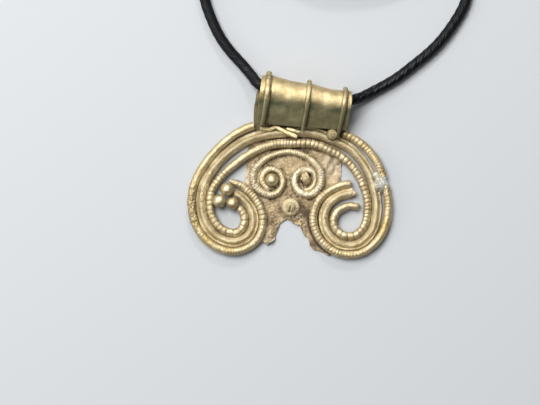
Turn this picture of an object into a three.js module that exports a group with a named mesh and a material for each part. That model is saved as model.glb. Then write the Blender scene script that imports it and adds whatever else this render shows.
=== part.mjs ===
// A small gold filigree pendant on a waxed cord.
// Three wires lie side by side and are bent into a crescent that ends in two inward scrolls.
// A torn backing sheet closes the middle and carries a spectacle spiral, grains and a nose cone.
// A rolled-sheet bail with three binding wires stands on the crown, and the cord runs through it.
// Millimetres, +Z up. The pendant lies on its back, with its front facing +Z and the bail towards +Y.
// The origin is on the flat back of the sheet, midway between the scrolls.
import * as THREE from 'three';

// Driving sizes
const crescentWidth = 28.6;
const sheetThickness = 0.3;
const solderFilm = 0.03;
const outerWireDiameter = 1.12;
const middleWireWidth = 1.42;
const middleWireHeight = 1.12;
const innerWireDiameter = 1.12;
const spectacleWireDiameter = 0.84;

const scrollGrainRadius = 0.89;
const smallScrollGrainRadius = 0.8;
const eyeGrainRadius = 0.86;
const eyeConeRadius = 0.78;
const eyeConeHeight = 1.05;
const noseConeRadius = 0.62;
const noseCollarRadius = 1.1;
const noseHeight = 1.3;
const bailGrainRadius = 0.72;

const bailLength = 12.8;
const bailHeight = 6.7;
const bailDepth = 4.4;
const bailWall = 0.3;
const bailFootLap = 1.1;
const bailTaper = 0.15;
const bailTurn = THREE.MathUtils.degToRad(-6.6);
const bindingWireDiameter = 0.6;
const stripWidth = 0.34;
const stripThickness = 0.24;

const cordDiameter = 1.5;
const cordGap = 0.3;
const coilInnerTurnRadius = 5.6;
const coilOuterTurnRadius = 10.1;
const coilLayerRise = 1.35;

// Facets
const wireSides = 8;
const wireStep = 0.95;
const spectacleStep = 0.6;
const bailArcSteps = 14;

const gold = { color: 0xb89a60, roughness: 0.42, metalness: 1.0 };
const finishes = {
  wire: new THREE.MeshStandardMaterial(gold),
  sheet: new THREE.MeshStandardMaterial({ color: 0xb39a72, roughness: 0.6, metalness: 0.9 }),
  bail: new THREE.MeshStandardMaterial({ color: 0x9c8c5a, roughness: 0.36, metalness: 1.0 }),
  grain: new THREE.MeshStandardMaterial({ color: 0xc0a76c, roughness: 0.3, metalness: 1.0 }),
  solder: new THREE.MeshStandardMaterial({ color: 0xc9c2b5, roughness: 0.6, metalness: 0.7 }),
  cord: new THREE.MeshStandardMaterial({ color: 0x121316, roughness: 0.5, metalness: 0.0 }),
};

const amulet = new THREE.Group();

function addPiece(name, geometry, material, parent = amulet) {
  const mesh = new THREE.Mesh(geometry, material);
  mesh.name = name;
  parent.add(mesh);
  return mesh;
}

// Plan points are given in hundredths of the crescent's width, measured from the origin.
const hundredth = crescentWidth / 100;

function plan([x, y], height = 0) {
  return new THREE.Vector3(x * hundredth, y * hundredth, height);
}

function planCurve(keys, height) {
  const curve = new THREE.CatmullRomCurve3(keys.map((key) => plan(key, height)), false, 'centripetal');
  curve.arcLengthDivisions = 600;
  return curve;
}

// A round wire's facets are turned so that one lies flat on the sheet.
const flatShare = Math.cos(Math.PI / wireSides);

function roundSection(diameter, sides = wireSides) {
  const shape = new THREE.Shape();
  for (let side = 0; side < sides; side += 1) {
    const angle = ((side + 0.5) / sides) * 2 * Math.PI;
    const x = (Math.cos(angle) * diameter) / 2;
    const y = (Math.sin(angle) * diameter) / 2;
    if (side === 0) shape.moveTo(x, y);
    else shape.lineTo(x, y);
  }
  shape.closePath();
  return shape;
}

function outline(points) {
  return new THREE.Shape(points.map(([x, y]) => new THREE.Vector2(x, y)));
}

// Along a curve in plan, the section's x points down and its y to the left of the way along.
function sweep(section, curve, step) {
  const steps = Math.round(curve.getLength() / step);
  return new THREE.ExtrudeGeometry(section, { steps, bevelEnabled: false, extrudePath: curve });
}

// The crescent line is the run of the middle wire, carried on a little past both its tips:
// round the left scroll, up the left side, over the crown, down the right side, round the right scroll.
const crescentKeys = [
  [-31.6, -11.6], [-25.5, -14.5], [-19.4, -21.2], [-18.0, -27.8], [-20.6, -34.2], [-26.7, -37.5],
  [-34.0, -36.1], [-40.6, -30.3], [-43.8, -21.4], [-43.2, -11.6], [-39.2, -3.1], [-31.8, 5.5],
  [-21.8, 12.3], [-11.0, 15.5], [0.2, 16.3], [11.0, 16.0], [21.6, 12.4], [30.6, 7.2],
  [37.4, -1.4], [41.1, -11.7], [42.3, -21.4], [39.9, -32.0], [33.5, -38.3], [25.2, -38.7],
  [18.6, -33.9], [16.2, -26.3], [18.3, -19.5], [23.5, -15.2], [29.4, -13.6], [33.0, -14.1], [36.4, -15.0],
];
const crescentLine = planCurve(crescentKeys, 0);
const lastKey = crescentKeys.length - 1;

// Where each wire starts and ends along the crescent line, as key numbers
const wireSpans = {
  middle: { from: 0.86, to: 28.7 },
  inner: { from: 1.55, to: 29.6 },
  leftOuter: { from: 0, to: 12.5 },
  rightTop: { from: 16.4, to: 18.4 },
  rightScroll: { from: 19.1, to: 28.1 },
};

// A side curve runs beside the crescent line, from one key's number to another.
// It stands off to the left by offset, and further by a spread's hundredths near the spread's key.
class SideCurve extends THREE.Curve {
  constructor({ from, to, offset, height, spreads = [] }) {
    super();
    Object.assign(this, { from, to, offset, height, spreads });
    this.arcLengthDivisions = 600;
  }

  getPoint(share, target = new THREE.Vector3()) {
    const key = THREE.MathUtils.lerp(this.from, this.to, share);
    const along = crescentLine.getTangent(key / lastKey);
    const spread = this.spreads.reduce((sum, one) => {
      const away = Math.min(Math.abs(key - one.key) / one.reach, 1);
      return sum + one.extra * hundredth * 0.5 * (1 + Math.cos(Math.PI * away));
    }, 0);
    const standOff = this.offset + Math.sign(this.offset) * spread;
    const left = new THREE.Vector3(-along.y, along.x, 0).normalize();
    target.copy(crescentLine.getPoint(key / lastKey)).addScaledVector(left, standOff);
    target.z = this.height;
    return target;
  }
}

// Every wire lies on the sheet, or level with the wires that do.
const seat = sheetThickness + solderFilm;
const outerStandOff = (middleWireWidth + outerWireDiameter) / 2 + solderFilm;
const innerStandOff = (middleWireWidth + innerWireDiameter) / 2 + solderFilm;
const outerWireHeight = seat + (outerWireDiameter / 2) * flatShare;
const innerWireHeight = seat + (innerWireDiameter / 2) * flatShare;

// Middle wire: a strip folded to a ridge
function ridgeSection() {
  const half = middleWireWidth / 2;
  const shoulder = middleWireHeight * 0.35;
  const ridgeShift = middleWireWidth * 0.08;
  return outline([
    [0, -half], [-shoulder, -half], [-middleWireHeight, ridgeShift], [-shoulder, half], [0, half],
  ]);
}

const middleCurve = new SideCurve({ ...wireSpans.middle, offset: 0, height: seat });
addPiece('middle_wire', sweep(ridgeSection(), middleCurve, wireStep), finishes.wire);

// Inner wire: beaded, standing off the middle wire at both shoulders of the crescent
const innerCurve = new SideCurve({
  ...wireSpans.inner,
  offset: -innerStandOff,
  height: innerWireHeight,
  spreads: [
    { key: 11.3, reach: 2.6, extra: 2.1 },
    { key: 15, reach: 5, extra: 0.9 },
    { key: 17.4, reach: 2, extra: 0.7 },
    { key: 26.4, reach: 2, extra: 1.2 },
    { key: 28.6, reach: 2.6, extra: 1.6 },
  ],
});
addPiece('inner_wire', sweep(roundSection(innerWireDiameter), innerCurve, wireStep), finishes.wire);

// Outer wires: the left one whole, the right one broken and bridged by a lump of solder
const leftOuterCurve = new SideCurve({
  ...wireSpans.leftOuter,
  offset: outerStandOff,
  height: outerWireHeight,
  spreads: [{ key: 13, reach: 3, extra: 1.05 }],
});
const rightOuterSpreads = [
  { key: 18, reach: 2.2, extra: 1.2 },
  { key: 20, reach: 1.8, extra: 1.0 },
  { key: 25.3, reach: 2, extra: 0.55 },
];
const rightTopCurve = new SideCurve({
  ...wireSpans.rightTop,
  offset: outerStandOff,
  height: outerWireHeight,
  spreads: rightOuterSpreads,
});
const rightScrollCurve = new SideCurve({
  ...wireSpans.rightScroll,
  offset: outerStandOff,
  height: outerWireHeight,
  spreads: rightOuterSpreads,
});
const outerSection = roundSection(outerWireDiameter);
addPiece('outer_wire_left', sweep(outerSection, leftOuterCurve, wireStep), finishes.wire);
addPiece('outer_wire_right_top', sweep(outerSection, rightTopCurve, wireStep), finishes.wire);
addPiece('outer_wire_right_scroll', sweep(outerSection, rightScrollCurve, wireStep), finishes.wire);

// Repair solder: an uneven lump that fills the break from end to end and leans on the middle wire
function solderLump() {
  const upperEnd = rightTopCurve.getPoint(1);
  const lowerEnd = rightScrollCurve.getPoint(0);
  const breakLine = new THREE.Vector3().subVectors(upperEnd, lowerEnd);
  const halfLength = breakLine.length() / 2 - solderFilm;
  const halfWidth = outerWireDiameter * 0.7;
  const halfHeight = outerWireDiameter * 0.6;
  const lift = 2 * solderFilm;
  const lump = new THREE.SphereGeometry(1, 12, 8);
  const place = lump.attributes.position;
  for (let index = 0; index < place.count; index += 1) {
    const x = place.getX(index);
    const y = place.getY(index);
    const z = place.getZ(index);
    const uneven = 1 - 0.09 * (1 + Math.sin(5 * x + 3 * z) * Math.cos(4 * y - 2 * x)) * 0.5;
    place.setXYZ(index, x * halfWidth * uneven, y * halfLength, z * halfHeight * uneven);
  }
  lump.rotateZ(Math.atan2(breakLine.y, breakLine.x) - Math.PI / 2);
  lump.translate((upperEnd.x + lowerEnd.x) / 2, (upperEnd.y + lowerEnd.y) / 2, outerWireHeight + lift);
  return lump;
}
addPiece('repair_solder', solderLump(), finishes.solder);

// Bail: a sheet rolled over from the back, tapering to the right and turned on the crown.
// Its own frame has x along the roll, y up the pendant and z to the front.
const bailPlace = plan([6.9, 29.2]);
const bailGroup = new THREE.Group();
bailGroup.position.copy(bailPlace);
bailGroup.rotation.z = bailTurn;
amulet.add(bailGroup);

const rollRadius = bailDepth / 2;
const rollCentre = bailHeight / 2 - rollRadius;
const frontFoot = -bailHeight / 2;
const backFoot = frontFoot - bailFootLap;
const frontLean = Math.asin(rollRadius / (rollCentre - frontFoot));

// The taper shrinks the bail's height from its left end to its right end.
function tallness(x) {
  return 1 - bailTaper * (x / bailLength + 0.5);
}

// The roll seen from its end: [y, z] points at a stand-off, from the front foot over the top.
function rollPoints(standOff, height = 1, lastAngle = -Math.PI / 2) {
  const across = rollRadius + standOff;
  const up = rollRadius * height + standOff;
  const start = Math.PI / 2 + frontLean;
  const foot = [
    frontFoot * height + standOff * Math.sin(-frontLean),
    rollRadius + standOff * Math.cos(frontLean),
  ];
  const points = [foot];
  for (let step = 0; step <= bailArcSteps; step += 1) {
    const angle = THREE.MathUtils.lerp(start, lastAngle, step / bailArcSteps);
    points.push([rollCentre * height + up * Math.cos(angle), rollRadius + across * Math.sin(angle)]);
  }
  return points;
}

function bailGeometry() {
  const outside = [...rollPoints(0), [backFoot, 0]];
  const inside = [...rollPoints(-bailWall), [backFoot, bailWall]];
  const section = outline([...outside, ...inside.reverse()]);
  const roll = new THREE.ExtrudeGeometry(section, { depth: bailLength, bevelEnabled: false });
  const place = roll.attributes.position;
  for (let index = 0; index < place.count; index += 1) {
    const x = place.getZ(index) - bailLength / 2;
    place.setXYZ(index, x, place.getX(index) * tallness(x), place.getY(index));
  }
  return roll;
}
addPiece('bail', bailGeometry(), finishes.bail, bailGroup);

// Binding wires: over the roll from the front foot, ending before they reach the flat back
const bindingStandOff = bindingWireDiameter / 2 + 2 * solderFilm;
const bindingStart = rollRadius - bindingWireDiameter / 2;
const bindingEnd = -Math.asin(bindingStart / (rollRadius + bindingStandOff));

// The places of a binding wire's top and foot are shares of the bail's length from its middle.
function bindingWire(topShare, footShare) {
  const topX = topShare * bailLength;
  const footX = footShare * bailLength;
  const points = rollPoints(bindingStandOff, tallness(topX), bindingEnd).map(([y, z]) => {
    const down = (bailHeight / 2 - y) / bailHeight;
    return new THREE.Vector3(THREE.MathUtils.lerp(topX, footX, down), y, z);
  });
  const curve = new THREE.CatmullRomCurve3(points, false, 'centripetal');
  return sweep(roundSection(bindingWireDiameter, 6), curve, spectacleStep);
}
addPiece('bail_wire_left', bindingWire(-0.42, -0.425), finishes.bail, bailGroup);
addPiece('bail_wire_middle', bindingWire(0.024, 0.008), finishes.bail, bailGroup);
addPiece('bail_wire_right', bindingWire(0.422, 0.385), finishes.bail, bailGroup);

// The back foot of the bail in the pendant's own frame: the sheet's top edge stops just short of it.
function bailBackFoot(localX) {
  const corner = new THREE.Vector3(localX, backFoot * tallness(localX), 0);
  return corner.applyAxisAngle(new THREE.Vector3(0, 0, 1), bailTurn).add(bailPlace);
}

// Backing sheet: torn all round, notched between the scrolls, with one small hole
const tornEdge = [
  [25.1, 1.0], [24.9, -1.4], [25.1, -4.3], [24.6, -7.9], [23.5, -11.5], [21.3, -16.0], [19.9, -21.5],
  [19.9, -29.0], [20.8, -35.5], [21.5, -41.5], [19.0, -44.4], [14.0, -41.8], [11.4, -41.2],
  [9.4, -38.7], [9.2, -36.1], [6.4, -33.7], [4.7, -29.6], [1.4, -28.3], [-1.6, -26.1],
  [-3.0, -27.0], [-5.5, -28.6], [-6.3, -32.0], [-7.3, -34.5], [-7.6, -36.6], [-11.5, -38.9],
  [-13.0, -37.4], [-17.7, -40.9], [-20.3, -41.8], [-22.0, -37.5], [-20.8, -31.0], [-20.6, -23.0],
  [-22.2, -16.5], [-22.6, -9.4], [-21.2, 2.1], [-20.8, 9.9],
];
const tearHole = { place: [2.3, -25.2], radius: 0.19, sides: 6 };

function backingSheet() {
  const leftTop = bailBackFoot(-bailLength / 2);
  const rightTop = bailBackFoot(bailLength * 0.42);
  const edge = tornEdge.map((key) => {
    const point = plan(key);
    return [point.x, point.y];
  });
  const filmBelow = 3 * solderFilm;
  const shape = outline([
    ...edge,
    [leftTop.x, leftTop.y - filmBelow],
    [rightTop.x, rightTop.y - filmBelow],
  ]);
  const centre = plan(tearHole.place);
  const hole = new THREE.Path();
  for (let side = 0; side < tearHole.sides; side += 1) {
    const angle = (side / tearHole.sides) * 2 * Math.PI;
    const x = centre.x + tearHole.radius * Math.cos(angle);
    const y = centre.y + tearHole.radius * Math.sin(angle);
    if (side === 0) hole.moveTo(x, y);
    else hole.lineTo(x, y);
  }
  shape.holes.push(hole);
  return new THREE.ExtrudeGeometry(shape, { depth: sheetThickness, bevelEnabled: false });
}
addPiece('backing_sheet', backingSheet(), finishes.sheet);

// Spectacle wire: a spiral round each eye, joined by an arch under the crown
const spectacleKeys = [
  [-11.7, -10.8], [-13.8, -8.0], [-13.7, -4.9], [-11.4, -2.3], [-8.3, -1.9], [-5.3, -3.6],
  [-3.9, -6.8], [-4.4, -10.7], [-6.9, -13.6], [-10.3, -14.4], [-14.7, -12.6], [-17.7, -8.9],
  [-18.2, -4.6], [-16.3, -0.4], [-12.8, 2.9], [-8.9, 5.1], [-4.3, 6.4], [0.2, 6.7],
  [4.8, 5.7], [9.2, 3.4], [12.6, 0.4], [14.8, -3.1], [15.1, -7.2], [13.5, -11.6],
  [9.1, -14.4], [4.7, -13.1], [2.3, -9.7], [2.4, -5.5], [4.9, -2.6], [8.6, -2.1], [11.2, -3.7],
];
const spectacleHeight = seat + (spectacleWireDiameter / 2) * flatShare;
const spectacleCurve = planCurve(spectacleKeys, spectacleHeight);
addPiece(
  'spectacle_wire',
  sweep(roundSection(spectacleWireDiameter), spectacleCurve, spectacleStep),
  finishes.wire,
);

// Grains: small gold balls
function grain(name, key, radius, centreHeight) {
  const ball = new THREE.SphereGeometry(radius, 12, 9);
  ball.rotateX(Math.PI / 2);
  const centre = plan(key, centreHeight);
  ball.translate(centre.x, centre.y, centre.z);
  addPiece(name, ball, finishes.grain);
}

const grainSeat = seat + solderFilm;
const middleRidgeTop = seat + middleWireHeight;
grain('eye_grain_left', [-9.2, -7.1], eyeGrainRadius, grainSeat + eyeGrainRadius);
grain('scroll_grain_top', [-31.1, -11.8], scrollGrainRadius, grainSeat + scrollGrainRadius);
grain('scroll_grain_left', [-34.4, -17.5], scrollGrainRadius, grainSeat + scrollGrainRadius);
grain('scroll_grain_right', [-28.2, -18.6], smallScrollGrainRadius, grainSeat + scrollGrainRadius);
grain('bail_grain', [20.2, 14.2], bailGrainRadius, middleRidgeTop + bailGrainRadius);

// Cones: turned profiles standing on the sheet, given as [radius, height] pairs
function cone(name, key, profile) {
  const turned = new THREE.LatheGeometry(profile.map(([x, y]) => new THREE.Vector2(x, y)), 12);
  turned.rotateX(Math.PI / 2);
  const foot = plan(key, seat);
  turned.translate(foot.x, foot.y, foot.z);
  addPiece(name, turned, finishes.grain);
}

cone('eye_cone_right', [7.1, -7.0], [
  [0, 0],
  [eyeConeRadius, 0],
  [eyeConeRadius * 0.95, eyeConeHeight * 0.45],
  [eyeConeRadius * 0.45, eyeConeHeight * 0.92],
  [0, eyeConeHeight],
]);
const collarHeight = noseHeight * 0.4;
cone('nose_cone', [0.2, -20.5], [
  [0, 0],
  [noseCollarRadius, 0],
  [noseCollarRadius, collarHeight * 0.6],
  [noseCollarRadius * 0.8, collarHeight],
  [noseConeRadius, collarHeight],
  [noseConeRadius * 0.75, noseHeight * 0.8],
  [0, noseHeight],
]);

// Solder strips: two flat strips bent over the crown at the foot of the bail.
// Each key's third value is its height, as a share of the height over the middle wire's ridge.
function strip(name, keys) {
  const points = keys.map(([x, y, share]) => plan([x, y], share * stripOverRidge));
  const path = new THREE.CatmullRomCurve3(points, false, 'catmullrom', 0.15);
  const section = outline([
    [-stripThickness / 2, -stripWidth / 2],
    [stripThickness / 2, -stripWidth / 2],
    [stripThickness / 2, stripWidth / 2],
    [-stripThickness / 2, stripWidth / 2],
  ]);
  addPiece(name, sweep(section, path, stripWidth), finishes.bail);
}

const stripOverRidge = middleRidgeTop + stripThickness / 2 + 4 * solderFilm;
strip('bent_strip', [
  [-14.9, 18.2, 0.68], [-10.3, 17.5, 0.71], [-6.9, 18.8, 0.77], [-2.0, 16.0, 1], [3.3, 13.7, 1],
]);
strip('short_strip', [[-1.9, 18.0, 0.86], [1.5, 17.0, 1], [4.6, 16.0, 1]]);

// Cord: one waxed cord through the bail. Both strands lie on the table beyond the pendant and run
// into a coil. These points are the run from the coil, down the left strand, through the bail, up the
// right strand and back to the coil.
const lying = cordDiameter / 2;
const cordRoute = [
  [-0.9, 25.8, lying], [-4.0, 26.0, lying], [-7.4, 27.2, lying], [-10.4, 27.6, lying],
  [-12.3, 25.9, lying], [-11.97, 23.1, lying], [-10.85, 20.0, lying], [-9.87, 18.05, lying],
  [-8.4, 16.0, lying], [-6.95, 14.4, lying], [-5.6, 12.8, 1.1], [-4.4, 11.3, 1.85],
  [-1.8, 10.55, 2.0], [2.15, 10.0, 1.95], [6.1, 9.4, 1.9], [8.5, 9.15, 1.8],
  [9.8, 9.5, 1.35], [11.4, 10.3, 0.85], [13.2, 11.25, lying], [15.1, 12.4, lying],
  [17.3, 14.1, lying], [19.5, 15.9, lying], [21.3, 17.75, lying], [23.0, 20.05, lying],
  [24.2, 22.1, lying], [24.9, 24.2, lying], [24.4, 26.5, lying], [22.2, 27.5, lying],
  [19.4, 27.1, 0.85], [16.6, 26.4, 1.15], [13.9, 25.9, 1.6],
];
const cordCurve = new THREE.CatmullRomCurve3(
  cordRoute.map(([x, y, z]) => new THREE.Vector3(x, y, z)),
  false,
  'centripetal',
);
addPiece('cord', sweep(roundSection(cordDiameter), cordCurve, 1.4 * cordDiameter), finishes.cord);

// Coil: two layers of turns beside each other, with the outer turns level with the strands
const coilCentre = new THREE.Vector3(6.5, 35.9, 0);

function coilRing() {
  const inner = coilInnerTurnRadius - lying;
  const outer = coilOuterTurnRadius + lying - cordGap / 2;
  const top = coilLayerRise + cordDiameter;
  const round = cordDiameter * 0.4;
  const profile = [
    [inner + round, 0], [outer - round, 0], [outer, round], [outer, top - round],
    [outer - round, top], [inner + round, top], [inner, top - round], [inner, round],
    [inner + round, 0],
  ];
  const ring = new THREE.LatheGeometry(profile.map(([x, y]) => new THREE.Vector2(x, y)), 32);
  ring.rotateX(Math.PI / 2);
  ring.translate(coilCentre.x, coilCentre.y, 0);
  return ring;
}
addPiece('cord_coil', coilRing(), finishes.cord);

export default amulet;
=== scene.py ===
"""A small ancient gold filigree pendant lying on a pale table, on its black waxed cord."""
import math

import bpy
import numpy as np
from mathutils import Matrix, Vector
from mathutils.geometry import delaunay_2d_cdt


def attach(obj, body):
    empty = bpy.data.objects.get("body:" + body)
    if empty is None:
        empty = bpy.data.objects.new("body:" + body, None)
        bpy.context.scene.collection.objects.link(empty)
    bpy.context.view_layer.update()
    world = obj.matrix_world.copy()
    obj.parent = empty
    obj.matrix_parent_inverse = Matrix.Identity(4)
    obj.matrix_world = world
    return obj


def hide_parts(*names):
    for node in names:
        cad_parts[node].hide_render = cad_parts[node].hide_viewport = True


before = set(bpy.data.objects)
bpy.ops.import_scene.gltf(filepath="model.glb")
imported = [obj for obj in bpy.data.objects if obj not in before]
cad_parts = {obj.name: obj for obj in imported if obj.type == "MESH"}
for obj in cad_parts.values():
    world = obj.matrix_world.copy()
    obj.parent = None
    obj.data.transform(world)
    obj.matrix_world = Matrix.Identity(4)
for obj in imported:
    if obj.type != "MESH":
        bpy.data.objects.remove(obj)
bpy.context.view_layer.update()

MM = 0.001

# Sizes of the pendant, in millimetres, as its frame has them
CRESCENT_WIDTH = 28.6
SHEET_THICKNESS = 0.3
SOLDER_FILM = 0.03
OUTER_WIRE = 1.12
MIDDLE_WIRE_WIDTH = 1.42
MIDDLE_WIRE_HEIGHT = 1.12
INNER_WIRE = 1.12
SPECTACLE_WIRE = 0.84
SEAT = SHEET_THICKNESS + SOLDER_FILM
CORD = 1.5
LYING = CORD / 2

# Camera: the photo's width at the pendant, and the point at the middle of the photo
PHOTO_WIDTH = 75.6
PHOTO_CENTRE = (-2.87, -5.22, 1.2)
CAMERA_ELEVATION = math.radians(88)
CAMERA_DISTANCE = 330
SENSOR_WIDTH = 36.0

random = np.random.default_rng(7)


def deselect_all():
    bpy.ops.object.select_all(action="DESELECT")


def put_camera():
    """A long lens over the lying pendant, square to it as in the photo."""
    towards = Vector((0, -math.cos(CAMERA_ELEVATION), math.sin(CAMERA_ELEVATION)))
    place = (Vector(PHOTO_CENTRE) + CAMERA_DISTANCE * towards) * MM
    bpy.ops.object.camera_add(location=place)
    camera = bpy.context.object
    camera.rotation_euler = (math.pi / 2 - CAMERA_ELEVATION, 0, 0)
    camera.data.sensor_width = SENSOR_WIDTH
    camera.data.lens = SENSOR_WIDTH * CAMERA_DISTANCE / PHOTO_WIDTH
    camera.data.clip_start = 0.01
    bpy.context.scene.camera = camera


put_camera()


def spline(keys, places):
    """Points of the smooth centripetal curve through keys, at places counted in keys."""
    keys = np.asarray(keys, float)
    ahead = np.vstack([2 * keys[0] - keys[1], keys, 2 * keys[-1] - keys[-2]])
    first = np.clip(places.astype(int), 0, len(keys) - 2)
    share = (places - first)[:, None]
    before, start, end, after = (ahead[first + step] for step in range(4))
    gaps = [
        np.sqrt(np.linalg.norm(b - a, axis=1))[:, None]
        for a, b in ((before, start), (start, end), (end, after))
    ]
    leave = gaps[1] * (
        (start - before) / gaps[0]
        - (end - before) / (gaps[0] + gaps[1])
        + (end - start) / gaps[1]
    )
    arrive = gaps[1] * (
        (end - start) / gaps[1]
        - (after - start) / (gaps[1] + gaps[2])
        + (after - end) / gaps[2]
    )
    square, cube = share**2, share**3
    return (
        (2 * cube - 3 * square + 1) * start
        + (cube - 2 * square + share) * leave
        + (3 * square - 2 * cube) * end
        + (cube - square) * arrive
    )


def even_steps(points, step):
    """The same line with its points a step apart, with how far along the line each point was."""
    lengths = np.linalg.norm(np.diff(points, axis=0), axis=1)
    run = np.concatenate([[0], np.cumsum(lengths)])
    count = max(int(round(run[-1] / step)), 2)
    wanted = np.linspace(0, run[-1], count + 1)
    return np.column_stack([np.interp(wanted, run, axis) for axis in points.T]), wanted


def directions(points):
    """The way along a line at each of its points."""
    along = np.gradient(points, axis=0)
    return along / np.linalg.norm(along, axis=1)[:, None]


def flat_frames(points):
    """For a line in plan: the way to its left and the way up, at each point."""
    along = directions(points)
    left = np.column_stack([-along[:, 1], along[:, 0], np.zeros(len(points))])
    left /= np.linalg.norm(left, axis=1)[:, None]
    up = np.tile([0.0, 0.0, 1.0], (len(points), 1))
    return left, up


def carried_frames(points):
    """For a line in space: two ways across it that turn no more than the line does."""
    along = directions(points)
    across = np.cross(along[0], [0.0, 0.0, 1.0])
    lefts = []
    for way in along:
        across = across - way * np.dot(across, way)
        across = across / np.linalg.norm(across)
        lefts.append(across)
    lefts = np.array(lefts)
    return lefts, np.cross(along, lefts)


def waves(points, length, seed, count=14):
    """Smooth uneven heights from -1 to 1 whose bumps are about one length apart."""
    chance = np.random.default_rng(seed)
    ways = chance.normal(size=(count, 3))
    ways /= np.linalg.norm(ways, axis=1)[:, None]
    pitch = 2 * np.pi / (length * chance.uniform(0.7, 1.5, count))
    start = chance.uniform(0, 2 * np.pi, count)
    return np.sin(points @ (ways * pitch[:, None]).T + start).sum(axis=1) / math.sqrt(count)


def new_mesh(name, points, faces, material, dirt_and_shade=None, stain_and_reflection=None):
    """A finished piece from points in millimetres, on the pendant's one body."""
    mesh = bpy.data.meshes.new(name)
    mesh.from_pydata((np.asarray(points) * MM).tolist(), [], faces)
    mesh.update()
    for layer_name, amounts in (("dirt_and_shade", dirt_and_shade), ("stain_and_reflection", stain_and_reflection)):
        if amounts is not None:
            layer = mesh.attributes.new(layer_name, "FLOAT", "POINT")
            layer.data.foreach_set("value", np.clip(amounts, 0, 1).astype(np.float32))
    piece = bpy.data.objects.new(name, mesh)
    bpy.context.scene.collection.objects.link(piece)
    mesh.materials.append(material)
    mesh.polygons.foreach_set("use_smooth", [True] * len(mesh.polygons))
    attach(piece, "root")
    return piece


def tube_faces(rings, sides):
    """Quads between closed rings, with a fan to one more point at each end."""
    faces = []
    for ring in range(rings - 1):
        low, high = ring * sides, (ring + 1) * sides
        for side in range(sides):
            then = (side + 1) % sides
            faces.append((low + side, low + then, high + then, high + side))
    first, last = rings * sides, rings * sides + 1
    top = (rings - 1) * sides
    for side in range(sides):
        then = (side + 1) % sides
        faces.append((first, then, side))
        faces.append((last, top + side, top + then))
    return faces


def with_ends(rings, sides):
    """A tube's points, ring by ring, with one more at the middle of each end."""
    return np.vstack([rings, rings[:sides].mean(axis=0), rings[-sides:].mean(axis=0)])


def sweep(line, frames, lefts, ups):
    """Points of a tube round a line: lefts and ups are each ring's sideways and upward offsets."""
    left, up = frames
    body = line[:, None] + lefts[:, :, None] * left[:, None] + ups[:, :, None] * up[:, None]
    return with_ends(body.reshape(-1, 3), body.shape[1])


# The run of the three wires, in hundredths of the crescent's width, from the origin
CRESCENT_KEYS = [
    (-31.6, -11.6), (-25.5, -14.5), (-19.4, -21.2), (-18.0, -27.8), (-20.6, -34.2),
    (-26.7, -37.5), (-34.0, -36.1), (-40.6, -30.3), (-43.8, -21.4), (-43.2, -11.6),
    (-39.2, -3.1), (-31.8, 5.5), (-21.8, 12.3), (-11.0, 15.5), (0.2, 16.3), (11.0, 16.0),
    (21.6, 12.4), (30.6, 7.2), (37.4, -1.4), (41.1, -11.7), (42.3, -21.4), (39.9, -32.0),
    (33.5, -38.3), (25.2, -38.7), (18.6, -33.9), (16.2, -26.3), (18.3, -19.5), (23.5, -15.2),
    (29.4, -13.6), (33.0, -14.1), (36.4, -15.0),
]
SPECTACLE_KEYS = [
    (-9.8, -12.0), (-11.7, -10.8), (-13.8, -8.0), (-13.7, -4.9), (-11.4, -2.3), (-8.3, -1.9),
    (-5.3, -3.6), (-3.9, -6.8), (-4.4, -10.7), (-6.9, -13.6), (-10.3, -14.4), (-14.7, -12.6), (-17.7, -8.9),
    (-18.2, -4.6), (-16.3, -0.4), (-12.8, 2.9), (-8.9, 5.1), (-4.3, 6.4), (0.2, 6.7),
    (4.8, 5.7), (9.2, 3.4), (12.6, 0.4), (14.8, -3.1), (15.1, -7.2), (13.5, -11.6),
    (9.1, -14.4), (4.7, -13.1), (2.3, -9.7), (2.4, -5.5), (4.9, -2.6), (8.6, -2.1), (11.2, -3.7),
    (12.0, -6.8), (11.2, -9.8), (9.2, -11.5), (6.4, -11.8),
]
HUNDREDTH = CRESCENT_WIDTH / 100


def plan(key, height=0.0):
    """A key's place in millimetres."""
    return np.array([key[0] * HUNDREDTH, key[1] * HUNDREDTH, height])


def side_line(start, stop, offset, height, spreads=(), step=0.06):
    """The line beside the crescent's run, and each point's place counted in keys."""
    places = np.linspace(start, stop, 3000)
    base = spline(CRESCENT_KEYS, places) * HUNDREDTH
    along = np.gradient(base, axis=0)
    along /= np.linalg.norm(along, axis=1)[:, None]
    off = np.full(len(places), float(offset))
    for key, reach, extra in spreads:
        away = np.minimum(np.abs(places - key) / reach, 1)
        off += np.sign(offset) * extra * 0.5 * (1 + np.cos(np.pi * away))
    plain = base + off[:, None] * np.column_stack([-along[:, 1], along[:, 0]])
    line = np.column_stack([plain, np.full(len(places), height), places])
    length = np.linalg.norm(np.diff(line[:, :3], axis=0), axis=1)
    run = np.concatenate([[0], np.cumsum(length)])
    wanted = np.linspace(0, run[-1], int(run[-1] / step) + 1)
    even = np.column_stack([np.interp(wanted, run, axis) for axis in line.T])
    return even[:, :3], even[:, 3], wanted


def node(tree, kind, inputs=None, **settings):
    """Adds one node with its settings, its plain values and its links."""
    made = tree.nodes.new(kind)
    for name, value in settings.items():
        setattr(made, name, value)
    for socket, value in (inputs or {}).items():
        if isinstance(value, bpy.types.NodeSocket):
            tree.links.new(value, made.inputs[socket])
        else:
            made.inputs[socket].default_value = value
    return made


def srgb(code):
    """A colour from its hex code, made linear."""
    parts = [int(code[start : start + 2], 16) / 255 for start in (1, 3, 5)]
    linear = [part / 12.92 if part <= 0.04045 else ((part + 0.055) / 1.055) ** 2.4 for part in parts]
    return (*linear, 1.0)


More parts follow.
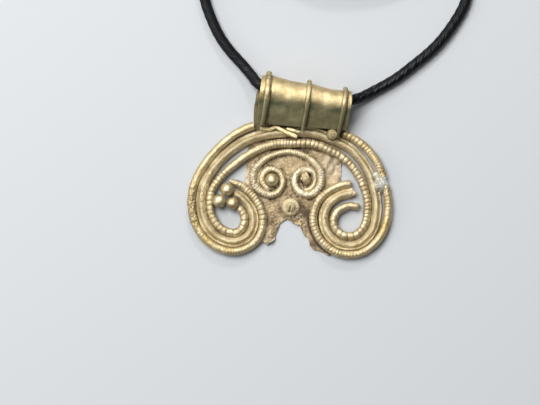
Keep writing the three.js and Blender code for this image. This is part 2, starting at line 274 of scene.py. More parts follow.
def ramp(tree, factor, stops, **settings):
    """A colour along a line of stops, each a place and a colour."""
    made = node(tree, "ShaderNodeValToRGB", {"Fac": factor}, **settings)
    points = made.color_ramp.elements
    while len(points) < len(stops):
        points.new(1.0)
    for point, (place, colour) in zip(points, stops):
        point.position = place
        point.color = colour
    return made.outputs["Color"]


def worked_out(tree, operation, *values, **settings):
    """The result of one sum on links or plain numbers."""
    return node(tree, "ShaderNodeMath", dict(enumerate(values)), operation=operation, **settings).outputs[0]


def mapped(tree, value, low, high, new_low=0.0, new_high=1.0):
    """A value with its range from low to high turned into a new range."""
    ranges = {"Value": value, "From Min": low, "From Max": high, "To Min": new_low, "To Max": new_high}
    return node(tree, "ShaderNodeMapRange", ranges).outputs[0]


def mixed(tree, share, first, second):
    return node(tree, "ShaderNodeMix", {0: share, 6: first, 7: second}, data_type="RGBA").outputs[2]


def noise(tree, place, scale, detail, roughness=0.5):
    inputs = {"Vector": place, "Scale": scale, "Detail": detail, "Roughness": roughness}
    return node(tree, "ShaderNodeTexNoise", inputs).outputs["Fac"]


def mesh_amount(tree, name):
    """An amount that each point of the mesh carries."""
    return node(tree, "ShaderNodeAttribute", attribute_name=name).outputs["Fac"]


def new_material(name):
    material = bpy.data.materials.new(name)
    material.use_nodes = True
    material.node_tree.nodes.clear()
    return material, material.node_tree


def shade(tree, inputs, height, relief):
    """Ends a material: its shader, over a relief of so many millimetres."""
    bump = node(tree, "ShaderNodeBump", {"Height": height, "Strength": 1.0, "Distance": relief * MM})
    shader = node(tree, "ShaderNodeBsdfPrincipled", {**inputs, "Normal": bump.outputs[0]})
    node(tree, "ShaderNodeOutputMaterial", {"Surface": shader.outputs[0]})


# Old gold: the size of its tarnished patches and the spacing of its pits, in millimetres
TARNISH_PATCH = 1 / 0.7
PIT_SPACING = 0.22
ROUGH_SPREAD = 0.13


def old_gold(name, light, deep, dirt_and_shade, rough, grain, relief, dirt_and_shade_share=1.0, pits=0.0, stain_and_reflection="#9a6b34"):
    """Worn high-carat gold: matt satin metal tinted by its stain amount (real stains and crusts, and on some
    pieces painted reflection and painted highlight), browned by its dirt amount (earth in its hollows, and
    painted shade under and between parts), with a sandy surface whose grains are a given size and height in
    millimetres."""
    material, tree = new_material(name)
    place = node(tree, "ShaderNodeTexCoord").outputs["Object"]
    tarnish = noise(tree, place, 1 / (TARNISH_PATCH * MM), 5.0, 0.65)
    fine = noise(tree, place, 1 / (grain * MM), 3.0, 0.62)
    patches = ramp(tree, tarnish, [(0.36, srgb(deep)), (0.66, srgb(light))])
    broken = worked_out(tree, "SUBTRACT", fine, 0.5)
    uneven = worked_out(tree, "MULTIPLY_ADD", broken, 0.9, mesh_amount(tree, "dirt_and_shade"))
    cover = mapped(tree, uneven, 0.25, 0.95, 0.0, dirt_and_shade_share)
    tinted = mixed(tree, mesh_amount(tree, "stain_and_reflection"), patches, srgb(stain_and_reflection))
    colour = mixed(tree, cover, tinted, srgb(dirt_and_shade))
    metal = mapped(tree, cover, 0.35, 1.0, 1.0, 0.15)
    dull = mapped(tree, fine, 0.3, 0.7, rough - ROUGH_SPREAD, rough + ROUGH_SPREAD)
    rough_all = worked_out(tree, "MULTIPLY_ADD", cover, 0.35, dull, use_clamp=True)
    specks = {"Vector": place, "Scale": 1 / (PIT_SPACING * MM), "Randomness": 1.0}
    speck = node(tree, "ShaderNodeTexVoronoi", specks, feature="F1")
    pit = mapped(tree, speck.outputs["Distance"], 0.1, 0.35, -pits, 0.0)
    height = worked_out(tree, "ADD", fine, pit)
    shade(tree, {"Base Color": colour, "Metallic": metal, "Roughness": rough_all}, height, relief)
    return material


# A dark brown for earth in hollows, which also serves as painted shade under and between parts
EARTH_AND_SHADE = "#46341f"
wire_gold = old_gold("gold_wire_worn", "#dcceac", "#b5a37e", EARTH_AND_SHADE, 0.54, 0.16, 0.07, stain_and_reflection="#c2ac74")
crusted_gold = old_gold(
    "gold_fine_wire_crusted", "#e6d9b8", "#c6b691", EARTH_AND_SHADE, 0.53, 0.14, 0.09, 0.75, stain_and_reflection="#eee5cf"
)
middle_gold = old_gold("gold_strip_worn", "#e8dcba", "#c6b48d", "#57432d", 0.58, 0.18, 0.17, stain_and_reflection="#f2e8cc")
sheet_gold = old_gold(
    "gold_sheet_matt", "#cfbd9a", "#a58f6e", "#453428", 0.56, 0.16, 0.13, 0.95, 0.1, "#eadfc8"
)
grain_gold = old_gold("gold_grain_rubbed", "#d6caa6", "#b5a47e", EARTH_AND_SHADE, 0.5, 0.25, 0.03)
# The bail and its binding wires take a greenish stain colour: a painted reflection of a dark blue-green
# surround on their lower parts
bail_gold = old_gold("gold_bail_satin", "#dccba0", "#bba67b", "#4a3920", 0.58, 0.18, 0.06, stain_and_reflection="#6e765c")
binding_gold = old_gold(
    "gold_binding_dull", "#d6c99f", "#a8976d", "#443620", 0.5, 0.18, 0.08, stain_and_reflection="#858e70"
)
solder_grey = old_gold("solder_repair_grey", "#eae8e0", "#b3b1a2", "#6f6048", 0.6, 0.18, 0.16, 0.8, 0.3)


# The cord's yarns wind round it once in a lay; its UV has 1.5 mm to the unit both ways
YARN_COUNT = 7
YARN_LAY = 9.0
YARN_SLANT = math.atan2(3 / YARN_LAY, 1 / CORD) - math.pi / 2
FIBRE_RELIEF = 0.03


def waxed_cotton():
    """Black waxed cotton: fibres that run along the wound yarns, glinting through a film of wax."""
    material, tree = new_material("waxed_cotton_black")
    turn = node(tree, "ShaderNodeUVMap", uv_map="round").outputs["UV"]
    scaled = node(tree, "ShaderNodeMapping", {"Vector": turn, "Rotation": (0, 0, YARN_SLANT)}).outputs[0]
    strands = {"Vector": scaled, "Scale": 1.5, "Distortion": 2.6, "Detail": 4.0, "Detail Scale": 2.0}
    fibres = node(tree, "ShaderNodeTexWave", strands).outputs["Fac"]
    place = node(tree, "ShaderNodeTexCoord").outputs["Object"]
    rub = noise(tree, place, 1400.0, 4.0)
    colour = ramp(tree, rub, [(0.4, srgb("#040406")), (0.62, srgb("#090b0f")), (0.8, srgb("#1b222d"))])
    dull = mapped(tree, rub, 0.3, 0.7, 0.1, 0.3)
    matt = worked_out(tree, "MULTIPLY_ADD", mesh_amount(tree, "stain_and_reflection"), 0.32, dull)
    shade(tree, {"Base Color": colour, "Roughness": matt, "Specular IOR Level": 0.2}, fibres, FIBRE_RELIEF)
    return material


cord_black = waxed_cotton()

# The cord's run, in millimetres: from the coil, down the left strand, through the bail and back
CORD_ROUTE = [
    (-0.9, 25.8, LYING), (-4.0, 26.0, LYING), (-7.4, 27.2, LYING), (-10.4, 27.6, LYING),
    (-12.3, 25.9, LYING), (-11.97, 23.1, LYING), (-10.85, 20.0, LYING), (-9.87, 18.05, LYING),
    (-8.4, 16.0, LYING), (-6.95, 14.4, LYING), (-5.6, 12.8, 1.1), (-4.4, 11.3, 1.85),
    (-1.8, 10.55, 2.0), (2.15, 10.0, 1.95), (6.1, 9.4, 1.9), (8.5, 9.15, 1.8),
    (9.8, 9.5, 1.35), (11.4, 10.3, 0.85), (13.2, 11.25, LYING), (15.1, 12.4, LYING),
    (17.3, 14.1, LYING), (19.5, 15.9, LYING), (21.3, 17.75, LYING), (23.0, 20.05, LYING),
    (24.2, 22.1, LYING), (24.9, 24.2, LYING), (24.4, 26.5, LYING), (22.2, 27.5, LYING),
    (19.4, 27.1, 0.85), (16.6, 26.4, 1.15), (13.9, 25.9, 1.6),
]
INSIDE_BAIL = 13
BAIL_RIGHT_MOUTH = (11.0, 10.5)
MATT_BEYOND = 14
COIL_CENTRE = np.array([6.5, 35.9])
COIL_INNER = 5.6
COIL_OUTER = 10.1
COIL_RISE = 1.35
COIL_TURNS = 3
POINTS_PER_TURN = 48


def coil_points():
    """Turns from the outside in along the table, then back out on top of them."""
    count = COIL_TURNS * POINTS_PER_TURN
    points = []
    for layer, (start, stop) in enumerate(((COIL_OUTER, COIL_INNER), (COIL_INNER, COIL_OUTER))):
        for step in range(count):
            share = step / (count - 1)
            turned = (layer + share) * COIL_TURNS * 2 * math.pi - math.pi / 2
            radius = start + (stop - start) * share
            lift = COIL_RISE * layer
            if layer == 0:
                lift = COIL_RISE * max(0.0, (share - 0.93) / 0.07) ** 2
            points.append(
                (
                    COIL_CENTRE[0] + radius * math.cos(turned),
                    COIL_CENTRE[1] + radius * math.sin(turned),
                    LYING + lift,
                )
            )
    return points


def cord_line():
    """One line that starts in the bail, goes up the left strand, round the coil and back down."""
    route = np.array(CORD_ROUTE)
    left = route[: INSIDE_BAIL + 1][::-1]
    right = route[INSIDE_BAIL:][::-1]
    leaving = [(9.6, 25.85, LYING + COIL_RISE)]
    keys = np.vstack([left, coil_points(), leaving, right])
    line = spline(keys, np.linspace(0, len(keys) - 1, len(keys) * 14))
    return even_steps(line, 0.28)


def make_cord():
    line, run = cord_line()
    left, up = carried_frames(line)
    sides = YARN_COUNT * 5
    angle = np.linspace(0, 2 * np.pi, sides, endpoint=False) + math.pi / 2
    twist = run[:, None] * 2 * math.pi / YARN_LAY + angle[None]
    radius = LYING * (1.01 - 0.12 * np.abs(np.cos(YARN_COUNT / 2 * twist)) ** 2.5)
    points = sweep(line, (left, up), radius * np.cos(angle), radius * np.sin(angle))
    from_mouth = np.linalg.norm(points - [*BAIL_RIGHT_MOUTH, LYING], axis=1)
    worn_matt = np.clip(from_mouth / MATT_BEYOND, 0.05, 1)
    faces = tube_faces(len(line), sides)
    piece = new_mesh("waxed_cord", points, faces, cord_black, stain_and_reflection=worn_matt)
    mesh = piece.data
    layer = mesh.uv_layers.new(name="round")
    corner = np.empty(len(mesh.loops), np.int32)
    mesh.loops.foreach_get("vertex_index", corner)
    ring, side = np.divmod(np.minimum(corner, len(line) * sides - 1), sides)
    around = side / sides
    face_starts = [face.loop_start for face in mesh.polygons]
    starts = np.repeat(face_starts, [face.loop_total for face in mesh.polygons])
    seam = (side == 0) & (side[starts] >= sides - 2)
    around = np.where(seam, 1.0, around)
    uv = np.column_stack([run[ring] / CORD, around * 3])
    layer.data.foreach_set("uv", uv.astype(np.float32).ravel())
    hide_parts("cord", "cord_coil")


make_cord()


def bead_radii(run, angle, pitch, depth, seed, uneven):
    """Shares of a wire's radius, ring by ring: barrel beads of uneven length with narrow grooves."""
    chance = np.random.default_rng(seed)
    grooves = [-pitch[0]]
    while grooves[-1] < run[-1] + pitch[-1]:
        here = np.interp(grooves[-1], run, pitch)
        grooves.append(grooves[-1] + here * chance.uniform(1 - uneven, 1 + uneven))
    slant = np.interp(run, np.linspace(0, run[-1], 60), chance.uniform(-0.14, 0.14, 60)) * pitch
    bead = np.interp(run[:, None] + slant[:, None] * np.cos(angle)[None], grooves, np.arange(len(grooves)))
    from_middle = 2 * np.abs(bead % 1 - 0.5)
    size = 1 + 0.02 * chance.normal(size=len(grooves) + 1)
    hollow = 1.05 * from_middle**9 + 0.26 * from_middle**2
    return size[bead.astype(int)] * (1 - depth[:, None] * hollow), from_middle**6


def along_keys(places, values):
    """A value that changes along a wire, from pairs of key number and value."""
    keys, amounts = zip(*values)
    return np.interp(places, keys, amounts)


def rounded_ends(run, radius, first=0.8, last=0.8):
    """Shares that draw a wire's radius in at its ends; 0 leaves an end cut square."""
    share = np.ones(len(run))
    for reach, away in ((first, run), (last, run[-1] - run)):
        if reach:
            near = np.clip(away / (reach * radius), 0, 1)
            share *= 0.2 + 0.8 * np.sqrt(np.clip(1 - (1 - near) ** 2, 0, 1))
    return share


# Pale crust along the spectacle wire: key number and amount
SPECTACLE_CRUST = [
    (-1, 0.1), (0, 0.3), (3, 0.1), (7, 0), (10, 0.45), (13, 0.35), (15, 0), (19, 0), (21, 0.6),
    (25, 0.7), (29, 0.5), (32, 0),
]


def beaded_wire(
    name, node_names, path, diameter, pitches, depths, sizes, seed, ends, pitted=(), gold=wire_gold
):
    """A beaded wire swept ring by ring, because wear and bead size change all the way along it."""
    line, places, run = path
    sides = 28
    radius = diameter / 2
    angle = np.linspace(0, 2 * np.pi, sides, endpoint=False)
    depth = along_keys(places, depths)
    shares, groove = bead_radii(run, angle, along_keys(places, pitches), depth, seed, 0.2)
    shares = shares * (rounded_ends(run, radius, *ends) * along_keys(places, sizes))[:, None]
    frames = flat_frames(line)
    radii = radius * shares
    line = line + frames[1] * (radius * (along_keys(places, sizes) - 1))[:, None] * 0.6
    flat = sweep(line, frames, radii * np.cos(angle), radii * np.sin(angle))[:-2]
    dent = 0.016 * waves(flat, 1.6, seed + 1, 30) + 0.007 * waves(flat, 0.35, seed + 2, 40)
    rough = np.zeros(len(flat))
    for key, reach, amount in pitted:
        near = np.repeat(np.clip(1.4 - 1.4 * np.abs(places - key) / reach, 0, 1), sides)
        hollow = 0.6 * waves(flat, 0.34, seed + 3, 50) + 0.6 * waves(flat, 0.19, seed + 4, 60)
        dent += near * amount * np.clip(hollow - 0.3, -1.4, 0.6)
        rough += near * (0.1 + 0.6 * np.clip(-hollow, 0, 1.2))
    outward = (flat - np.repeat(line, sides, axis=0)) / np.maximum(radii.reshape(-1, 1), 1e-6)
    points = with_ends(flat + outward * dent[:, None], sides)
    # Painted shade: each wire is darkened on its underside towards the sheet, besides the earth in its bead
    # grooves
    low = np.clip((0.1 - np.sin(angle)) / 0.9, 0, 1)
    earth_and_shade = 0.9 * groove * np.clip(depth / 0.12, 0, 1)[:, None] + 0.7 * low[None]
    earth_and_shade = np.concatenate([earth_and_shade.ravel() + rough, [0.5, 0.5]])
    # Yellower towards the crescent's outer rim
    from_centre = np.hypot(points[:, 0] / 14.3, (points[:, 1] + 3.8) / 9.1)
    stain_and_reflection = np.clip((from_centre - 0.92) / 0.1, 0, 1) * (0.4 + 0.35 * waves(points, 2.5, seed + 5, 20))
    if gold is crusted_gold:
        key = np.concatenate([np.repeat(places, sides), places[:1], places[-1:]])
        stain_and_reflection = along_keys(key, SPECTACLE_CRUST) * (0.7 + 0.5 * waves(points, 0.7, seed + 5, 30))
    piece = new_mesh(name, points, tube_faces(len(line), sides), gold, earth_and_shade, stain_and_reflection)
    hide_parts(*node_names)


FLAT_SHARE = math.cos(math.pi / 8)
OUTER_HEIGHT = SEAT + OUTER_WIRE / 2 * FLAT_SHARE
INNER_HEIGHT = SEAT + INNER_WIRE / 2 * FLAT_SHARE
OUTER_OFF = (MIDDLE_WIRE_WIDTH + OUTER_WIRE) / 2 + SOLDER_FILM
INNER_OFF = (MIDDLE_WIRE_WIDTH + INNER_WIRE) / 2 + SOLDER_FILM
WIRE_STEP = 0.055
SPECTACLE_STEP = 0.045

# Where a wire stands off further from the middle one: key number, reach in keys, millimetres
LEFT_OUTER_SPREADS = [(13, 3, 0.3)]
OUTER_SPREADS = [(18, 2.2, 0.34), (20, 1.8, 0.28), (25.3, 2, 0.16)]
INNER_SPREADS = [(11.3, 2.6, 0.6), (15, 5, 0.26), (17.4, 2, 0.2), (26.4, 2, 0.34), (28.6, 2.6, 0.46)]


def make_outer_wires():
    """Along each wire, every pair is a key number and a bead's length, a groove's depth or a size."""
    beaded_wire(
        "outer_wire_left_worn",
        ["outer_wire_left"],
        side_line(-0.12, 12.5, OUTER_OFF, OUTER_HEIGHT, LEFT_OUTER_SPREADS, WIRE_STEP),
        OUTER_WIRE,
        pitches=[(0, 0.4), (1.6, 0.42), (2.4, 0.72), (3.6, 0.62), (4.4, 0.4), (7.2, 0.4), (12.5, 0.6)],
        depths=[(0, 0.16), (1.8, 0.18), (2.6, 0.15), (3.6, 0.05), (4.4, 0.1), (6.4, 0.09), (7.0, 0.03),
                (9.5, 0.02), (10.2, 0), (12.5, 0)],
        sizes=[(0, 0.9), (0.8, 1.0), (7, 1.02), (9, 1.0), (12.5, 1.0)],
        seed=11,
        ends=(3.4, 0),
        pitted=[(8.1, 1.7, 0.13)],
    )
    beaded_wire(
        "outer_wire_right_top_worn",
        ["outer_wire_right_top"],
        side_line(16.2, 18.6, OUTER_OFF, OUTER_HEIGHT, OUTER_SPREADS, WIRE_STEP),
        OUTER_WIRE,
        pitches=[(16.2, 0.62), (17.1, 0.6), (17.5, 0.36), (18.6, 0.33)],
        depths=[(16.2, 0.17), (17.2, 0.14), (17.6, 0.09), (18.2, 0.07), (18.6, 0.03)],
        sizes=[(16.2, 0.98), (17, 1.04), (18.0, 1.12), (18.6, 1.1)],
        seed=21,
        ends=(0.5, 0),
        pitted=[(18.4, 0.5, 0.05)],
    )
    beaded_wire(
        "outer_wire_right_scroll_worn",
        ["outer_wire_right_scroll"],
        side_line(18.95, 28.1, OUTER_OFF, OUTER_HEIGHT, OUTER_SPREADS, WIRE_STEP),
        OUTER_WIRE,
        pitches=[(19, 0.5), (20, 0.62), (21.5, 0.5), (22.4, 0.4), (23.2, 0.42), (24, 0.5), (26.5, 0.52),
                 (28.1, 0.6)],
        depths=[(19, 0.03), (19.8, 0.09), (21, 0.04), (22.3, 0.1), (24, 0.12), (26.4, 0.11), (27.2, 0.03),
                (28.1, 0)],
        sizes=[(19, 1.0), (20, 1.04), (22, 1.0), (24, 1.0), (26, 1.03), (28.1, 0.98)],
        seed=31,
        ends=(0, 0.25),
        pitted=[(19.1, 0.7, 0.04)],
    )


def make_inner_wire():
    beaded_wire(
        "inner_wire_beaded",
        ["inner_wire"],
        side_line(1.42, 29.75, -INNER_OFF, INNER_HEIGHT, INNER_SPREADS, WIRE_STEP),
        INNER_WIRE,
        pitches=[(1.5, 0.66), (3, 0.72), (4, 1.0), (5.4, 0.95), (6.2, 0.6), (9, 0.62), (10.4, 0.58),
                 (11, 0.36), (12.6, 0.4), (13.9, 0.42), (14.2, 0.62), (16.4, 0.68), (17.4, 0.62),
                 (18.5, 0.55), (19.8, 0.54), (21, 0.62), (22, 0.85), (23.5, 0.8), (24.5, 0.6), (26, 0.5),
                 (29.7, 0.4)],
        depths=[(1.5, 0.1), (3, 0.14), (4.5, 0.07), (6, 0.15), (9, 0.14), (10.4, 0.12), (11.0, 0.04),
                (11.7, 0.04), (12.2, 0.09), (13.2, 0.13), (14.2, 0.15), (17, 0.16), (20, 0.17),
                (21, 0.15), (22.5, 0.12), (24.5, 0.1), (26, 0.06), (27, 0.02), (29.7, 0.0)],
        sizes=[(1.5, 0.95), (3, 1.05), (5, 1.03), (8, 1.0), (11, 1.0), (13, 1.1), (16, 1.14), (18.5, 1.04),
               (24, 1.02), (27, 0.95), (29.7, 0.88)],
        seed=41,
        ends=(0.9, 1.1),
    )


# The middle wire's section, in shares of half its width and of its height: with and without a rim
RIMMED = [
    (-1.0, 0.0), (-1.0, 0.2), (-0.94, 0.38), (-0.8, 0.52), (-0.62, 0.7), (-0.42, 0.87), (-0.2, 0.97),
    (0.0, 1.0), (0.16, 0.97), (0.3, 0.88), (0.44, 0.7), (0.56, 0.54), (0.68, 0.48), (0.8, 0.54),
    (0.92, 0.54), (1.0, 0.3), (1.0, 0.0), (0.5, 0.0), (0.0, 0.0), (-0.5, 0.0),
]
PLAIN = [
    (-1.0, 0.0), (-1.0, 0.25), (-0.93, 0.42), (-0.8, 0.54), (-0.64, 0.68), (-0.46, 0.84), (-0.28, 0.95),
    (-0.1, 1.0), (0.06, 0.96), (0.2, 0.82), (0.32, 0.6), (0.44, 0.43), (0.58, 0.36), (0.74, 0.34),
    (0.9, 0.36), (1.0, 0.2), (1.0, 0.0), (0.5, 0.0), (0.0, 0.0), (-0.5, 0.0),
]


# Along the middle wire: key number and the share of its rim, and of the pale crust on its ridge, which is
# also a painted highlight on the ridge's top
MIDDLE_RIM = [
    (0.6, 0.1), (3, 0.5), (6, 0.45), (7.5, 0.05), (12, 0.0), (13.5, 0.7), (15, 1), (16.2, 0.75),
    (17.4, 0.25), (19.6, 0.3), (20.8, 0.9), (28, 1),
]
MIDDLE_CRUST_AND_HIGHLIGHT = [
    (7.0, 0), (8.4, 0.5), (11, 0.45), (12.4, 0), (17.6, 0), (18.4, 0.4), (20, 0.4), (21, 0), (23.4, 0),
    (25, 0.55), (26.6, 0.4), (27.2, 0),
]


def doubled(profile):
    """A closed section with one more point midway between every two."""
    corners = np.array(profile)
    between = (corners + np.roll(corners, -1, axis=0)) / 2
    return np.stack([corners, between], axis=1).reshape(-1, 2)


def make_middle_wire():
    """A strip folded to a ridge, its outer edge turned up, cut like a fish's tail at the right."""
    line, places, run = side_line(0.62, 28.08, 0.00001, SEAT, step=0.08)
    half, high = MIDDLE_WIRE_WIDTH / 2, MIDDLE_WIRE_HEIGHT
    rimmed, plain = doubled(RIMMED), doubled(PLAIN)
    rim = along_keys(places, MIDDLE_RIM)
    profile = rimmed[None] * rim[:, None, None] + plain[None] * (1 - rim)[:, None, None]
    sides = len(rimmed)
    left, up = flat_frames(line)
    wear = 1 - 0.06 * (1 + waves(line, 3.0, 51)) * 0.5
    width = along_keys(places, [(0.6, 0.82), (1.4, 1.0), (8, 1.04), (12, 1.04), (20, 1.0), (28, 1.0)])
    lefts = profile[:, :, 0] * half * width[:, None]
    rise = profile[:, :, 1] * wear[:, None]
    body = line[:, None] + lefts[:, :, None] * left[:, None] + (rise * high)[:, :, None] * up[:, None]
    along = directions(line)
    cut = np.clip(1 - (run[-1] - run) / 1.0, 0, 1)
    tail = np.interp(lefts / half, [-1, -0.2, 1], [-0.2, 0.82, 0.15])
    body += (cut[:, None] * tail)[:, :, None] * along[:, None]
    start = np.clip(1 - run / 0.9, 0, 1)[:, None]
    body[:, :, 2] -= start**2 * 0.35 * rise * high
    flat = body.reshape(-1, 3)
    free = np.clip(rise * 3 - 0.3, 0, 1).ravel()
    flat[:, 2] += free * (0.02 * waves(flat, 1.3, 52, 30) + 0.03 * waves(flat, 0.24, 53, 60))
    pitted = np.repeat(np.clip(1.5 - np.abs(places - 9.0) / 1.8, 0, 1), sides)
    flat[:, 2] += pitted * free * 0.08 * np.clip(waves(flat, 0.24, 54, 60), -1.4, 0.9)
    # Painted shade: the strip's low sides are darkened; its outer flank is browned by earth in the groove and
    # by painted shade
    low = np.clip(0.5 - rise * 1.6, 0, 1)
    across = profile[:, :, 0]
    on_rim = np.clip((across - 0.74) / 0.12, 0, 1)
    outer_side = np.clip((across - 0.36) / 0.2, 0, 1) * (1.0 - 0.55 * rim[:, None] * on_rim)
    # Painted shade along the inner edge where the gap to the inner wire stands open
    gap_shade = along_keys(places, [(24.6, 0), (25.3, 0.9), (27, 0.9), (27.6, 0)])
    inner_side = np.clip((-across - 0.7) / 0.2, 0, 1) * gap_shade[:, None]
    earth_and_shade = (low * 0.8 + 0.42 * outer_side * (1 - 0.35 * rim[:, None]) + inner_side).ravel() - 0.08
    # Painted shade under the bail
    under_bail = np.repeat(along_keys(places, [(12.2, 0), (13.6, 0.2), (16.6, 0.2), (18, 0)]), sides)
    earth_and_shade += 0.1 * waves(flat, 2.5, 55, 30) + 0.06 * pitted + under_bail
    # Pale crust on the ridge's top, which is also a painted highlight there
    crust = along_keys(places, MIDDLE_CRUST_AND_HIGHLIGHT)
    on_top = np.clip((profile[:, :, 1] - 0.7) / 0.15, 0, 1)
    stain_and_reflection = (crust[:, None] * on_top).ravel() * (0.7 + 0.6 * waves(flat, 0.5, 56, 40))
    points = with_ends(flat, sides)
    faces = [tuple(reversed(face)) for face in tube_faces(len(line), sides)]
    earth_and_shade, stain_and_reflection = np.append(earth_and_shade, [0.5, 0.5]), np.append(stain_and_reflection, [0, 0])
    piece = new_mesh("middle_wire_ridged", points, faces, middle_gold, earth_and_shade, stain_and_reflection)
    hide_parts("middle_wire")


def make_spectacle_wire():
    """One fine beaded wire: a spiral round each eye and the arch between them."""
    height = SEAT + SPECTACLE_WIRE / 2 * FLAT_SHARE
    places = np.linspace(0, len(SPECTACLE_KEYS) - 1, 3000)
    plain = spline(SPECTACLE_KEYS, places) * HUNDREDTH
    line = np.column_stack([plain, np.full(len(plain), height), places - 1])
    length = np.linalg.norm(np.diff(line[:, :2], axis=0), axis=1)
    run = np.concatenate([[0], np.cumsum(length)])
    wanted = np.linspace(0, run[-1], int(run[-1] / SPECTACLE_STEP))
    even = np.column_stack([np.interp(wanted, run, axis) for axis in line.T])
    beaded_wire(
        "spectacle_wire_beaded",
        ["spectacle_wire"],
        (even[:, :3], even[:, 3], wanted),
        SPECTACLE_WIRE,
        pitches=[(-1, 0.4), (7, 0.4), (9, 0.33), (12, 0.34), (14.5, 0.3), (20, 0.3), (22, 0.36), (34, 0.4)],
        depths=[(-1, 0.14), (2, 0.06), (4, 0.15), (7, 0.08), (8.5, 0.16), (10, 0.22), (12.5, 0.18),
                (15, 0.16), (17, 0.22), (20, 0.22), (21.5, 0.12), (23, 0.09), (24, 0.07), (30, 0.05),
                (34, 0.02)],
        sizes=[(-1, 0.95), (1, 1.1), (3, 1.16), (4.5, 1.05), (6, 1.0), (8, 1.18), (10, 1.34), (12, 1.38),
               (14, 1.12), (16, 0.97), (18, 1.06), (19, 1.2), (21, 1.24), (22.5, 1.26), (24, 1.3),
               (26, 1.24), (28, 1.14), (30, 0.98), (31, 0.74), (34, 0.6)],
        seed=61,
        ends=(1.0, 1.0),
        pitted=[(11.6, 2.5, 0.04), (22.6, 2.6, 0.05), (27.4, 2.6, 0.05)],
        gold=crusted_gold,
    )


make_outer_wires()
make_inner_wire()
make_middle_wire()
make_spectacle_wire()


# The torn sheet's edge, in hundredths of the crescent's width
TORN_EDGE = [
    (25.1, 1.0), (24.9, -1.4), (25.1, -4.3), (24.6, -7.9), (23.5, -11.5), (21.3, -16.0), (19.9, -21.5),
    (19.9, -29.0), (20.8, -35.5), (21.5, -41.5), (19.0, -44.4), (14.0, -41.8), (11.4, -41.2),
    (9.4, -38.7), (9.2, -36.1), (6.4, -33.7), (4.7, -29.6), (1.4, -28.3), (-1.6, -26.1),
    (-3.0, -27.0), (-5.5, -28.6), (-6.3, -32.0), (-7.3, -34.5), (-7.6, -36.6), (-11.5, -38.9),
    (-13.0, -37.4), (-17.7, -40.9), (-20.3, -41.8), (-22.0, -37.5), (-20.8, -31.0), (-20.6, -23.0),
    (-22.2, -16.5), (-22.6, -9.4), (-21.2, 2.1), (-20.8, 9.9), (-17.0, 15.6), (23.8, 13.4),
]
TEAR_HOLE = (2.3, -25.2)


def roughened(edge, step, amount, seed):
    """The edge with points a step apart, each moved a little across it, as torn metal is."""
    closed = np.vstack([edge, edge[:1]])
    points, _ = even_steps(closed, step)
    points = points[:-1]
    along = np.roll(points, -1, axis=0) - np.roll(points, 1, axis=0)
    across = np.column_stack([along[:, 1], -along[:, 0]])
    across /= np.linalg.norm(across, axis=1)[:, None]
    chance = np.random.default_rng(seed)
    jag = chance.normal(size=len(points))
    jag = 0.6 * jag + 0.4 * np.roll(jag, 1)
    return points + across * (amount * np.clip(jag, -1.6, 0.9))[:, None]


def closed_shell(faces, count):
    """A flat net's faces, the same a count of points further on, turned over, and a wall between."""
    shell = [tuple(face) for face in faces]
    shell += [tuple(count + corner for corner in reversed(face)) for face in faces]
    edges = dict.fromkeys((a, b) for face in faces for a, b in zip(face, face[1:] + face[:1]))
    shell += [(b, a, count + a, count + b) for a, b in edges if (b, a) not in edges]
    return shell


